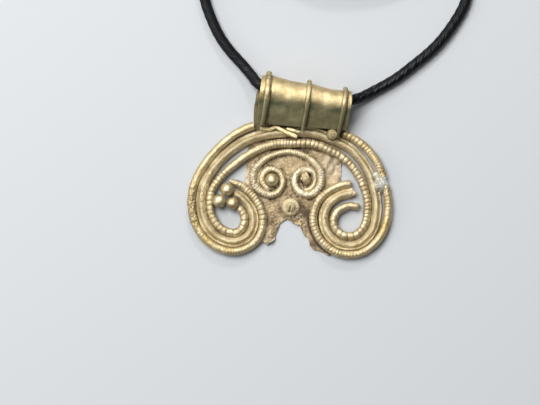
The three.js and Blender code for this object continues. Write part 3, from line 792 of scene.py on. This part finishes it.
def make_sheet():
    """Gold sheet, torn round its edge, with sandy grain, a smooth fold, crusts and a raised flap."""
    edge = roughened(np.array(TORN_EDGE) * HUNDREDTH, 0.12, 0.05, 71)
    hole_centre = np.array(TEAR_HOLE) * HUNDREDTH
    turns = np.linspace(0, 2 * np.pi, 14, endpoint=False)
    hole_radius = 0.17 * (1 + 0.25 * np.sin(3 * turns + 1))
    hole = hole_centre + np.column_stack([hole_radius * np.cos(turns), hole_radius * 1.3 * np.sin(turns)])
    low, high = edge.min(axis=0), edge.max(axis=0)
    cell = 0.095
    inner = [
        (x, y)
        for row, y in enumerate(np.arange(low[1], high[1], cell))
        for x in np.arange(low[0] + (row % 2) * cell / 2, high[0], cell)
    ]
    inner = np.array(inner) + random.uniform(-0.02, 0.02, (len(inner), 2))
    gap_edge = np.min(np.linalg.norm(inner[:, None] - edge[None], axis=2), axis=1)
    gap_hole = np.linalg.norm(inner - hole_centre, axis=1)
    inner = inner[(gap_edge > cell * 0.6) & (gap_hole > 0.33)]
    flat = np.vstack([edge, hole, inner])
    ring = list(range(len(edge)))
    hole_ring = list(range(len(edge), len(edge) + len(hole)))
    wires = [(a, b) for loop in (ring, hole_ring) for a, b in zip(loop, loop[1:] + loop[:1])]
    found = delaunay_2d_cdt([Vector(point) for point in flat], wires, [], 1, 1e-6)
    points = np.array([tuple(point) for point in found[0]])
    faces = []
    for face in found[2]:
        middle = points[list(face)].mean(axis=0)
        if np.linalg.norm((middle - hole_centre) / (1, 1.3)) > 0.16:
            faces.append(list(face))
    solid = np.column_stack([points, np.zeros(len(points))])
    to_edge = np.min(np.linalg.norm(points[:, None] - edge[None], axis=2), axis=1)
    inside = np.clip(to_edge / 0.5, 0, 1)

    def spot(x, y, wide, high):
        """A soft patch of the sheet round a point, 1 in its middle."""
        return np.exp(-(((points[:, 0] - x) / wide) ** 2 + ((points[:, 1] - y) / high) ** 2))

    smooth_part = np.clip(spot(6.3, 0.3, 1.5, 2.2) * 1.8, 0, 1)
    nose = np.linalg.norm(points - plan((0.2, -20.5))[:2], axis=1)
    beside_nose = np.exp(-(((nose - 1.0) / 0.75) ** 2))
    grainy = (1 - 0.85 * smooth_part) * (1 + 0.8 * beside_nose)
    soft = waves(solid, 2.6, 72, 40)
    crumbs = waves(solid, 0.5, 73, 70)
    sand = waves(solid, 0.22, 74, 90)
    top = SHEET_THICKNESS - 0.04 + 0.04 * soft + grainy * (0.014 * crumbs + 0.026 * np.clip(sand, -1.2, 1.4))
    top += smooth_part * 0.24 * np.clip(waves(solid, 1.5, 78, 12), -1, 1.2)
    top += 0.18 * np.exp(-((nose / 1.35) ** 2))
    top += 0.14 * spot(1.3, -7.3, 1.1, 1.2) * np.abs(waves(solid, 0.5, 75, 40))
    crust = np.clip(1.6 * spot(-4.5, -2.0, 0.5, 1.35), 0, 1) + 0.9 * spot(3.75, -1.6, 0.26, 0.8)
    top += 0.42 * crust * (1 + 0.25 * waves(solid, 0.35, 88, 50))
    flap = spot(-2.7, -10.7, 0.85, 0.65)
    crumple = waves(solid, 0.5, 80, 40)
    top += flap * (0.36 + 0.16 * waves(solid, 0.9, 76, 30) + 0.26 * crumple)
    top += 0.1 * (1 - inside) * waves(solid, 1.2, 77, 30)
    top += 0.16 * (1 - inside) ** 2 * spot(4.4, -10.6, 1.6, 2.0)
    top = np.maximum(top, 0.06)
    under = np.maximum(top - 0.26, 0.0)
    under = np.minimum(under, 0.02 + 0.9 * np.clip(top - 0.3, 0, 1))
    count = len(points)
    body = np.vstack([np.column_stack([points, top]), np.column_stack([points, under])])
    shell = closed_shell(faces, count)
    crease = grainy * (0.16 * np.clip(-crumbs, 0, 2) + 0.2 * np.clip(-sand, 0, 2))
    # Painted shade: the sheet is darkened towards the crown, under the bail and the crown's wires
    near_crown = np.clip((points[:, 1] - 1.6) / 0.8, 0, 1)
    low_right = spot(4.4, -10.6, 2.0, 2.8) + spot(2.4, -7.0, 1.2, 1.2)
    patches = np.clip(waves(solid, 1.7, 79, 30), -1, 1)
    coils = spline(SPECTACLE_KEYS, np.linspace(0, len(SPECTACLE_KEYS) - 1, 500)) * HUNDREDTH
    to_coil = np.min(np.linalg.norm(points[:, None] - coils[None], axis=2), axis=1)
    seam = np.exp(-(((to_coil - 0.6) / 0.13) ** 2)) * np.clip(0.6 + waves(solid, 0.5, 86, 50), 0, 1)
    scroll = side_line(22.0, 28.1, OUTER_OFF, OUTER_HEIGHT, OUTER_SPREADS)[0][:, :2]
    to_scroll = np.min(np.linalg.norm(points[:, None] - scroll[None], axis=2), axis=1)
    shadow = np.exp(-(((to_scroll - 0.66) / 0.14) ** 2)) * np.clip((-6.5 - points[:, 1]) / 1.5, 0, 1)
    earth_and_shade = 0.12 + 0.16 * patches + 0.5 * seam + crease + 0.5 * near_crown + 0.62 * low_right
    earth_and_shade += 0.3 * beside_nose
    # Painted shade: a small dark spot stands for the shade in a tiny hole; the broad patch beside it is a
    # browner area
    earth_and_shade += 0.7 * spot(1.27, -5.9, 0.2, 0.5) + 0.25 * spot(-2.2, -7.8, 2.0, 2.0)
    earth_and_shade = earth_and_shade * (1 - 0.8 * smooth_part) * (1 - 0.8 * np.clip(crust, 0, 1))
    earth_and_shade += flap * (1.1 * np.clip(-crumple, 0, 1) - 0.5)
    earth_and_shade = np.clip(earth_and_shade - 0.4 * (1 - inside) * np.clip(low_right, 0, 1), 0, 1) + shadow
    # Paler on the crust, the forehead and the raised flap; on the smooth fold the paleness is a painted
    # highlight
    pale = 0.8 * np.clip(crust, 0, 1) + 0.7 * spot(-4.4, -2.2, 2.2, 2.0) + 0.9 * flap + 0.4 * smooth_part
    pale = np.clip(pale + 0.12 * crumbs, 0, 1)
    earth_and_shade, pale = np.concatenate([earth_and_shade, earth_and_shade * 0.7]), np.concatenate([pale, pale * 0])
    piece = new_mesh("backing_sheet_torn", body, shell, sheet_gold, earth_and_shade, pale)
    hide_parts("backing_sheet")


make_sheet()

# Bail: its place and turn on the crown, and the roll of its sheet seen from the end
BAIL_PLACE = plan((6.9, 29.2))
BAIL_TURN = math.radians(-6.6)
BAIL_LENGTH = 12.8
BAIL_HEIGHT = 6.7
BAIL_WALL = 0.3
BAIL_TAPER = 0.15
ROLL = 2.2
ROLL_CENTRE = BAIL_HEIGHT / 2 - ROLL
FRONT_FOOT = -BAIL_HEIGHT / 2
BACK_FOOT = FRONT_FOOT - 1.1
FRONT_LEAN = math.asin(ROLL / (ROLL_CENTRE - FRONT_FOOT))
BINDING = 0.6

# On the bail's front, in its own frame: the binding wires' places, dents by place, reach and depth,
# and earth-stained patches by place, width, height and amount
BINDING_PLACES = (-5.2, 0.33, 5.4)
BAIL_DENTS = [
    (-3.2, 1.2, 0.9, 0.07), (2.6, 0.6, 0.8, 0.06), (4.2, 2.2, 0.5, 0.08), (-1.6, -1.4, 1.0, 0.05),
    (3.2, -2.0, 0.8, 0.06),
]
BAIL_WARM_PATCHES = [(2.2, -1.0, 0.6, 0.4, 0.35), (3.8, -2.5, 0.8, 0.8, 0.4), (0.8, -1.8, 0.4, 1.2, 0.3)]


def tallness(x):
    """The roll's height at a place along it, as a share of its height at its left end."""
    return 1 - BAIL_TAPER * (x / BAIL_LENGTH + 0.5)


def top_lift(x):
    """How far the hand-bent roll stands above its even taper at its top."""
    return np.interp(x, [-6.4, -5.0, 0.0, 3.0, 6.4], [0.02, 0.36, 0.02, -0.1, -0.2])


def bail_to_pendant(points):
    """Points of the bail's own frame, turned and moved to its place on the crown."""
    turned = np.array(points, float)
    cosine, sine = math.cos(BAIL_TURN), math.sin(BAIL_TURN)
    x, y = turned[:, 0].copy(), turned[:, 1].copy()
    turned[:, 0] = x * cosine - y * sine + BAIL_PLACE[0]
    turned[:, 1] = x * sine + y * cosine + BAIL_PLACE[1]
    return turned


def roll_loop(stand_off, height, front=40, arc=60, back=30, last_angle=-math.pi / 2, with_back=True):
    """The roll from its front foot, over the top and down the flat back: rows of y and z."""
    across, up = ROLL + stand_off, ROLL * height + stand_off
    start = math.pi / 2 + FRONT_LEAN
    foot = np.array(
        [FRONT_FOOT * height - stand_off * math.sin(FRONT_LEAN), ROLL + stand_off * math.cos(FRONT_LEAN)]
    )
    angles = np.linspace(start, last_angle, arc)
    round_part = np.column_stack([ROLL_CENTRE * height + up * np.cos(angles), ROLL + across * np.sin(angles)])
    lower = foot + (round_part[0] - foot) * np.linspace(0, 1, front, endpoint=False)[:, None]
    rows = [lower, round_part]
    if with_back:
        end = np.array([BACK_FOOT * height, -stand_off])
        rows.append(round_part[-1] + (end - round_part[-1]) * np.linspace(0, 1, back + 1)[1:, None])
    return np.vstack(rows)


def lifted(loop, x):
    """The roll's loop at a place along it, drawn up to its hand-bent top."""
    share = np.clip((loop[:, 0] - FRONT_FOOT) / BAIL_HEIGHT, 0, 1)
    return loop + np.column_stack([top_lift(x) * share, np.zeros(len(loop))])


def make_bail():
    """Rolled gold sheet, hammered smooth by hand, with a doubled rim at each mouth."""
    stations = 150
    share = np.linspace(0, 1, stations)
    rows = len(roll_loop(0, 1.0))
    outer = np.zeros((stations, rows, 3))
    for index, part in enumerate(share):
        x = (part - 0.5) * BAIL_LENGTH
        loop = lifted(roll_loop(0.0, tallness(x)), x)
        height = loop[:, 0]
        is_back = loop[:, 1] < 0.9
        flare = np.interp(height, [-4.5, -2.6, -1.2, 0.8, 2.0, 2.8], [0.1, 0.5, 0.62, 0.52, 0.3, 0.0])
        left_end = -BAIL_LENGTH / 2 - flare * is_back
        bulge = np.interp(height, [-3.3, -1.0, 1.2, 2.4, 3.4], [-0.05, 0.1, 0.22, 0.1, -0.35])
        right_end = BAIL_LENGTH / 2 - 0.15 + bulge * (1 - is_back)
        outer[index, :, 0] = left_end + (right_end - left_end) * part
        outer[index, :, 1:] = loop
    flat = outer.reshape(-1, 3)
    loops = outer[:, :, 1:]
    along = np.gradient(loops, axis=1)
    along /= np.linalg.norm(along, axis=2)[:, :, None]
    outward = np.stack([np.zeros(along.shape[:2]), along[:, :, 1], -along[:, :, 0]], axis=2)
    away = outward.reshape(-1, 3)
    middle = np.array([0.0, ROLL_CENTRE * 0.5, ROLL])
    if ((flat - middle) * away).sum() < 0:
        away = -away
    front = np.clip((flat[:, 2] - 0.5) / 0.8, 0, 1)
    bump = 0.035 * waves(flat, 3.2, 81) + 0.012 * waves(flat, 0.9, 82)
    x = flat[:, 0]
    rim_left = 1 / (1 + np.exp((x + 5.75) / 0.05))
    rim_right = 1 / (1 + np.exp((5.85 - x) / 0.05))
    bump += 0.07 * (rim_left + rim_right)
    near_top = np.clip(flat[:, 1] / 3, 0, 1)
    waist = 0.14 * np.cos(np.pi * np.clip((x + 2.4) / 5.4, -0.5, 0.5))
    waist += 0.16 * np.cos(np.pi * np.clip((x - 3.2) / 4.4, -0.5, 0.5))
    bump -= waist * near_top
    for dent_x, dent_y, reach, deep in BAIL_DENTS:
        away_from = np.hypot(x - dent_x, flat[:, 1] - dent_y) / reach
        bump -= deep * np.exp(-(away_from**2))
    outer_skin = flat + away * (bump * front)[:, None]
    inner_skin = outer_skin - away * (BAIL_WALL * 0.92)
    outer_skin[:, 2] = np.maximum(outer_skin[:, 2], 0.0)
    count = len(flat)
    points = bail_to_pendant(np.vstack([outer_skin, inner_skin]))
    cells = [station * rows + row for station in range(stations - 1) for row in range(rows - 1)]
    faces = closed_shell([(a, a + 1, a + rows + 1, a + rows) for a in cells], count)
    edges = np.exp(-(((x + 5.62) / 0.1) ** 2)) + np.exp(-(((x - 5.9) / 0.1) ** 2))
    for wire_x in BINDING_PLACES:
        edges += 0.8 * np.exp(-(((x - wire_x) / 0.46) ** 6))
        # Painted shadow: a darker band to the right of each binding wire, where its shadow falls
        edges += 0.3 * np.exp(-(((x - wire_x - 0.3) / 0.5) ** 2))
    y = flat[:, 1]
    # Painted shade along the front's foot where it meets the crown
    foot = np.exp(-(((y - FRONT_FOOT) / 0.3) ** 2)) * front
    uneven = np.clip(waves(flat, 2.2, 83, 20), -1, 1)
    # The parts near the table are darkened as painted shade under the roll; brown patches and uneven tone are
    # real earth
    earth_and_shade = 0.55 * edges + 0.5 * foot + 0.1 * uneven + 0.45 * (flat[:, 2] < 0.9)
    for warm_x, warm_y, wide, high, amount in BAIL_WARM_PATCHES:
        earth_and_shade += amount * np.exp(-(((x - warm_x) / wide) ** 2) - ((y - warm_y) / high) ** 2)
    # Painted reflection: the roll's lower half is tinted greener as if it reflected a dark blue-green
    # surround, with a greener band just below where the highlight falls
    green_band = np.exp(-(((y + 0.3) / 0.4) ** 2)) * (0.7 + 0.4 * waves(flat, 2.5, 84, 20))
    green = 0.6 / (1 + np.exp((y - 0.2) / 0.4)) + 0.55 * green_band
    # The inner skin is darkened as painted shade inside the roll
    earth_and_shade = np.concatenate([earth_and_shade, np.full(count, 0.7)])
    green = np.concatenate([green, green])
    piece = new_mesh("bail_rolled", points, faces, bail_gold, earth_and_shade, green)
    face_outwards(piece)
    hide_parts("bail")


def make_binding(name, node_name, top_x, foot_x, width, stand, overhang, worn, seed):
    """A flattened wire bent over the roll by hand; its front end may hang past the sheet's edge."""
    off = stand * 0.5
    last = -math.asin((ROLL - BINDING / 2) / (ROLL + BINDING / 2 + 0.05))
    loop = lifted(roll_loop(off, tallness(top_x), arc=90, last_angle=last, with_back=False), top_x)
    if overhang:
        way = loop[0] - loop[1]
        loop = np.vstack([loop[0] + way / np.linalg.norm(way) * overhang, loop])
    down = (BAIL_HEIGHT / 2 - loop[:, 0]) / BAIL_HEIGHT
    bow = 0.16 * np.sin(np.pi * np.clip(down, 0, 1))
    line = np.column_stack([top_x + (foot_x - top_x) * down + bow, loop])
    line, run = even_steps(line, 0.08)
    down_run = np.clip((BAIL_HEIGHT / 2 - line[:, 1]) / BAIL_HEIGHT, 0, 1)
    along = directions(line)
    side = np.tile([1.0, 0.0, 0.0], (len(line), 1))
    side -= along * (side * along).sum(axis=1)[:, None]
    side /= np.linalg.norm(side, axis=1)[:, None]
    out = np.cross(side, along)
    if (out * (line - [0, 0, ROLL])).sum() < 0:
        out = -out
    sides = 18
    angle = np.linspace(0, 2 * np.pi, sides, endpoint=False)
    shrink = rounded_ends(run, width / 2, 0.35, 1.6)[:, None]
    thick = 1 + 0.035 * waves(line, 1.6, seed, 20)[:, None] + 0.02 * waves(line, 0.5, seed + 2, 30)[:, None]
    narrow = 1 - 0.28 * np.clip((down_run - 0.45) / 0.55, 0, 1)[:, None]
    sideways = width / 2 * shrink * thick * narrow * np.cos(angle)
    outwards = stand / 2 * shrink * thick * np.sign(np.sin(angle)) * np.abs(np.sin(angle)) ** 0.8
    points = sweep(line, (side, out), sideways, outwards)
    points += worn * waves(points, 0.5, seed + 1, 30)[:, None]
    # Painted shade on each binding wire's underside
    low = np.clip(0.3 - np.sin(angle), 0, 1)
    earth_and_shade = np.tile(low, len(line)) + 0.25 * np.clip(waves(points[:-2], 0.6, seed + 3, 40), 0, 1)
    earth_and_shade = np.append(earth_and_shade, [0.4, 0.4])
    # Painted reflection: the lower part is tinted greener as if it reflected a dark blue-green surround
    green = 0.6 * np.clip((0.4 - points[:, 1]) / 1.2, 0, 1)
    faces = tube_faces(len(line), sides)
    piece = new_mesh(name, bail_to_pendant(points), faces, binding_gold, earth_and_shade, green)
    face_outwards(piece)
    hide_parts(node_name)


def face_outwards(piece):
    """Turns all of a closed piece's faces to point out of it."""
    deselect_all()
    piece.select_set(True)
    bpy.context.view_layer.objects.active = piece
    bpy.ops.object.mode_set(mode="EDIT")
    bpy.ops.mesh.select_all(action="SELECT")
    bpy.ops.mesh.normals_make_consistent(inside=False)
    bpy.ops.object.mode_set(mode="OBJECT")


make_bail()
make_binding("bail_wire_left_flat", "bail_wire_left", -5.45, -5.6, 0.8, 0.6, 0, 0.03, 91)
make_binding("bail_wire_middle_flat", "bail_wire_middle", 0.3, 0.1, 0.66, 0.52, 0.55, 0.012, 93)
make_binding("bail_wire_right_flat", "bail_wire_right", 5.4, 5.1, 0.64, 0.5, 0.95, 0.016, 95)


def shaped_ball(name, node_name, centre, radius, seed, material, shape):
    """A ball added as a primitive, then shaped point by point and left as one mesh."""
    deselect_all()
    bpy.ops.mesh.primitive_ico_sphere_add(subdivisions=5, radius=1.0, location=(0, 0, 0))
    ball = bpy.context.object
    raw = np.empty(len(ball.data.vertices) * 3)
    ball.data.vertices.foreach_get("co", raw)
    faces = [tuple(face.vertices) for face in ball.data.polygons]
    bpy.data.objects.remove(ball)
    unit = raw.reshape(-1, 3)
    points, earth_and_shade = shape(unit, radius, seed)
    piece = new_mesh(name, points + centre, faces, material, earth_and_shade)
    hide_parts(node_name)


def rubbed_grain(unit, radius, seed):
    """A melted gold ball, a little out of round, with a flat rubbed on top."""
    size = radius * (1 + 0.02 * waves(unit, 1.3, seed) + 0.006 * waves(unit, 0.4, seed + 1))
    points = unit * size[:, None]
    flat_from = radius * 0.93
    above = points[:, 2] > flat_from
    points[:, 2] = np.where(above, flat_from + (points[:, 2] - flat_from) * 0.4, points[:, 2])
    # Painted shade: the ball is darkened towards its underside
    earth_and_shade = np.clip(-unit[:, 2] * 0.9 + 0.25, 0, 1) * 0.8
    return points, earth_and_shade


def dull_grain(unit, radius, seed):
    """A ball flattened in front and dimpled, grey-brown all over."""
    size = radius * (1 + 0.025 * waves(unit, 1.0, seed))
    points = unit * size[:, None]
    away = np.hypot(unit[:, 0], unit[:, 1])
    points[:, 2] = np.minimum(points[:, 2], radius * (0.8 - 0.12 * np.clip(away / 0.6, 0, 1) ** 2))
    # Grey-brown all over, and darker towards its underside as painted shade
    return points, 0.6 + 0.5 * np.clip(0.6 - unit[:, 2], 0, 1) + 0.06 * waves(unit, 0.8, seed + 1)


def make_grains():
    ridge_top = SEAT + MIDDLE_WIRE_HEIGHT
    grain_seat = SEAT + SOLDER_FILM
    for name, node_name, key, radius, height, seed in (
        ("eye_grain_left_rubbed", "eye_grain_left", (-9.2, -7.1), 0.9, grain_seat + 0.86, 101),
        ("scroll_grain_top_rubbed", "scroll_grain_top", (-31.1, -11.9), 0.94, grain_seat + 0.94, 103),
        ("scroll_grain_left_rubbed", "scroll_grain_left", (-34.8, -17.5), 0.93, grain_seat + 0.93, 105),
        ("scroll_grain_right_rubbed", "scroll_grain_right", (-28.5, -18.6), 0.88, grain_seat + 0.92, 107),
    ):
        shaped_ball(name, node_name, plan(key, height), radius, seed, grain_gold, rubbed_grain)
    centre = plan((20.4, 14.7), ridge_top + 0.75)
    shaped_ball(
        "bail_grain_dull", "bail_grain", centre, 0.83, 109, binding_gold, dull_grain
    )


def turned_piece(name, node_name, key, profile, shape, gold):
    """A profile of radius and height turned round, then worked over by shape."""
    sides = 72
    line = spline(profile, np.linspace(0, len(profile) - 1, 60))
    line[:, 0] = np.maximum(line[:, 0], 0.0)
    angle = np.linspace(0, 2 * np.pi, sides, endpoint=False)
    rings = line[1:-1]
    body = np.stack(
        [rings[:, :1] * np.cos(angle), rings[:, :1] * np.sin(angle), rings[:, 1:] * np.ones(sides)], axis=2
    ).reshape(-1, 3)
    points = np.vstack([body, [[0, 0, line[0, 1]], [0, 0, line[-1, 1]]]])
    points, earth_and_shade = shape(points)
    faces = tube_faces(len(rings), sides)
    piece = new_mesh(name, points + plan(key, SEAT), faces, gold, earth_and_shade)
    face_outwards(piece)
    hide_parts(node_name)


def broken_eye(points):
    """A cone broken to slanting ridges, longer than it is wide, with painted shade in its slots, between its
    ridges and round its foot where it leaves the sheet.
    """
    away = np.linalg.norm(points[:, :2], axis=1)
    angle = np.arctan2(points[:, 1], points[:, 0])
    ridges = 0.07 * np.sin((points[:, 0] * 0.85 + points[:, 1] * 0.55) * 17)
    points[:, 2] += ridges * np.clip(points[:, 2] / 0.7, 0, 1)
    slots = np.exp(-(((angle - 0.55) / 0.42) ** 2)) + np.exp(-(((angle + 2.4) / 0.42) ** 2))
    foot = np.clip((away - 0.5) / 0.16, 0, 1)
    points[:, 2] = np.maximum(points[:, 2] - 0.5 * slots * foot, 0.0)
    points[:, :2] *= (0.96, 1.2)
    return points, np.clip(slots * foot + 0.25 * foot**2 + 3 * np.clip(-ridges - 0.03, 0, 1), 0, 1)


def slit_nose(points):
    """A cone on a collar, worn smooth, with one slit down its front."""
    across = np.abs(points[:, 0] + 0.05 - 0.25 * points[:, 1])
    in_front = np.clip((0.3 - points[:, 1]) / 0.15, 0, 1) * np.clip((points[:, 2] - 0.4) / 0.1, 0, 1)
    slit = np.exp(-((across / 0.05) ** 2)) * in_front
    points[:, 2] -= 0.3 * np.clip(1 - across / 0.24, 0, 1) * in_front
    ridges = 0.02 * np.sin(points[:, 1] * 10)
    points[:, 2] += ridges * (points[:, 2] > 0.55)
    away = np.linalg.norm(points[:, :2], axis=1)
    collar = np.exp(-(((away - 0.66) / 0.1) ** 2))
    # Painted shade in the slit, a darker ring round the collar, and a little brown all over
    return points, np.clip(0.8 * slit + 0.3 * collar + 0.16, 0, 1)


make_grains()
turned_piece(
    "eye_cone_right_broken", "eye_cone_right", (7.4, -6.3),
    [(0, 0), (0.8, 0.0), (0.82, 0.12), (0.79, 0.5), (0.68, 0.82), (0.42, 1.02), (0, 1.1)],
    broken_eye,
    wire_gold,
)
turned_piece(
    "nose_cone_slit", "nose_cone", (0.2, -20.5),
    [(0, 0), (1.24, 0.0), (1.22, 0.16), (1.08, 0.32), (0.9, 0.42), (0.72, 0.52), (0.54, 0.66),
     (0.36, 0.84), (0.18, 0.94), (0, 0.96)],
    slit_nose,
    middle_gold,
)


# The solder's lobes: place and half sizes, in millimetres
SOLDER_MIDDLE = np.array([12.6, -2.4, 0.95])
SOLDER_LOBES = [
    ((12.65, -2.6, 0.95), (0.88, 1.05, 0.66)),
    ((12.0, -1.45, 0.95), (0.52, 0.55, 0.5)),
    ((13.0, -1.6, 0.9), (0.5, 0.5, 0.48)),
    ((13.2, -3.2, 0.85), (0.46, 0.5, 0.45)),
    ((11.95, -2.9, 0.9), (0.55, 0.6, 0.42)),
]


def solder_shape(unit, radius, seed):
    """A frozen crust of several lobes, found along each ray from its middle."""
    reach = np.zeros(len(unit))
    for centre, size in SOLDER_LOBES:
        start = (SOLDER_MIDDLE - centre) / size
        ray = unit / size
        a = (ray * ray).sum(axis=1)
        b = ray @ start
        inside = b * b - a * (start @ start - 1)
        far = np.where(inside > 0, (-b + np.sqrt(np.maximum(inside, 0))) / a, 0)
        reach = np.maximum(reach, far)
    grit = waves(unit, 0.24, seed + 1, 50)
    swell = 1 + 0.06 * waves(unit, 0.7, seed, 30) + 0.07 * grit
    points = unit * (reach * swell * radius)[:, None]
    # Grime in the grit's hollows, and painted shade towards the underside
    earth_and_shade = 0.6 * np.clip(-grit, 0, 1.2) + np.clip(-unit[:, 2], 0, 1) * 0.6
    return points, earth_and_shade


shaped_ball(
    "repair_solder_lump", "repair_solder", SOLDER_MIDDLE, 1.0, 121, solder_grey,
    solder_shape,
)


def make_strip(name, node_name, keys, width, thickness, seed):
    """A narrow strip bent by hand, its edges rounded."""
    points = np.array([[x * HUNDREDTH, y * HUNDREDTH, z] for x, y, z in keys])
    line, run = even_steps(points, 0.05)
    for _ in range(2):
        line[1:-1] = (line[:-2] + line[1:-1] * 2 + line[2:]) / 4
    left, up = flat_frames(line)
    sides = 14
    angle = np.linspace(0, 2 * np.pi, sides, endpoint=False)
    square = np.maximum(np.abs(np.cos(angle)), np.abs(np.sin(angle))) ** -0.9
    uneven = 1 + 0.04 * waves(line, 0.7, seed)[:, None]
    lefts = width / 2 * np.cos(angle) * square * uneven
    ups = thickness / 2 * np.sin(angle) * square * uneven
    tube = sweep(line, (left, up), lefts, ups)
    # Painted shade on the strip's underside
    earth_and_shade = np.append(np.tile(np.clip(0.2 - np.sin(angle), 0, 1) * 0.6, len(line)), [0.3, 0.3])
    piece = new_mesh(name, tube, tube_faces(len(line), sides), binding_gold, earth_and_shade)
    face_outwards(piece)
    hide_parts(node_name)


STRIP_THICKNESS = 0.24
OVER_RIDGE = SEAT + MIDDLE_WIRE_HEIGHT + STRIP_THICKNESS
make_strip(
    "bent_strip_soldered", "bent_strip",
    [(-14.9, 18.2, 1.15), (-10.3, 17.5, 1.2), (-6.9, 18.8, 1.3), (-2.0, 16.0, OVER_RIDGE),
     (3.3, 13.7, 1.68)],
    0.58, STRIP_THICKNESS, 131,
)
make_strip(
    "short_strip_soldered", "short_strip",
    [(-1.9, 18.0, 1.45), (1.5, 17.0, OVER_RIDGE), (4.6, 16.0, OVER_RIDGE)],
    0.48, STRIP_THICKNESS, 133,
)


TIE_TURNS = 3
TIE_RADIUS = 0.14
TIE_SPREAD = 0.9
TIE_SLACK = 0.1


def make_tie():
    """A short wrap of the same black yarn that holds the coil together."""
    middle = (COIL_INNER + COIL_OUTER) / 2
    turn = (COIL_OUTER - COIL_INNER) / COIL_TURNS
    half_width = (COIL_OUTER - COIL_INNER - turn) / 2 + LYING + TIE_SLACK
    half_height = (COIL_RISE + CORD) / 2 - 0.02
    turns = np.linspace(0, 2 * np.pi * TIE_TURNS, 220)
    squareness = 0.55
    along = np.sign(np.cos(turns)) * np.abs(np.cos(turns)) ** squareness * half_width
    up = np.sign(np.sin(turns)) * np.abs(np.sin(turns)) ** squareness * half_height
    across = (turns / turns[-1] - 0.5) * TIE_SPREAD
    line = np.column_stack(
        [COIL_CENTRE[0] + across, COIL_CENTRE[1] + middle + along, half_height + up + 0.15]
    )
    line, _ = even_steps(line, 0.12)
    frames = carried_frames(line)
    sides = 8
    angle = np.linspace(0, 2 * np.pi, sides, endpoint=False)
    ring = np.full((len(line), 1), TIE_RADIUS)
    points = sweep(line, frames, ring * np.cos(angle), ring * np.sin(angle))
    points[:, 2] = np.maximum(points[:, 2], 0.0)
    piece = new_mesh("coil_tie", points, tube_faces(len(line), sides), cord_black)
    layer = piece.data.uv_layers.new(name="round")
    layer.data.foreach_set("uv", np.zeros(len(piece.data.loops) * 2, np.float32))


make_tie()


def make_studio():
    """A pale table under soft light: one wide light beyond the bail and weak fill."""
    deselect_all()
    bpy.ops.mesh.primitive_plane_add(size=3.0, location=(0, 0, -0.00002))
    floor = bpy.context.object
    floor.name = "table_top"
    pale = bpy.data.materials.new("table_pale_matt")
    pale.use_nodes = True
    shader = pale.node_tree.nodes["Principled BSDF"]
    shader.inputs["Base Color"].default_value = srgb("#b4b7ba")
    shader.inputs["Roughness"].default_value = 0.6
    floor.data.materials.append(pale)
    target = Vector((0.0, -0.003, 0.0))
    for name, place, size, power in (
        ("key_over_left", (-0.16, 0.17, 0.43), 0.28, 2.9),
        ("fill_left", (-0.45, -0.10, 0.25), 0.25, 0.6),
        ("rim_beyond", (0.05, 0.42, 0.3), 0.07, 0.7),
    ):
        bpy.ops.object.light_add(type="AREA", location=place)
        light = bpy.context.object
        light.name = name
        light.data.size = size
        light.data.energy = power
        light.rotation_euler = (target - Vector(place)).to_track_quat("-Z", "Y").to_euler()
    world = bpy.data.worlds.new("studio")
    bpy.context.scene.world = world
    world.use_nodes = True
    tree = world.node_tree
    tree.nodes.clear()
    way = node(tree, "ShaderNodeTexCoord").outputs["Generated"]
    parts = node(tree, "ShaderNodeSeparateXYZ", {"Vector": way})
    tones = [(0.0, (0.22, 0.23, 0.24, 1)), (0.5, (0.45, 0.45, 0.45, 1)), (1.0, (0.8, 0.77, 0.72, 1))]
    sky = ramp(tree, mapped(tree, parts.outputs["Y"], -0.8, 0.7), tones)
    background = node(tree, "ShaderNodeBackground", {"Color": sky, "Strength": 0.55})
    node(tree, "ShaderNodeOutputWorld", {"Surface": background.outputs[0]})
    bpy.context.scene.view_settings.view_transform = "Standard"


make_studio()
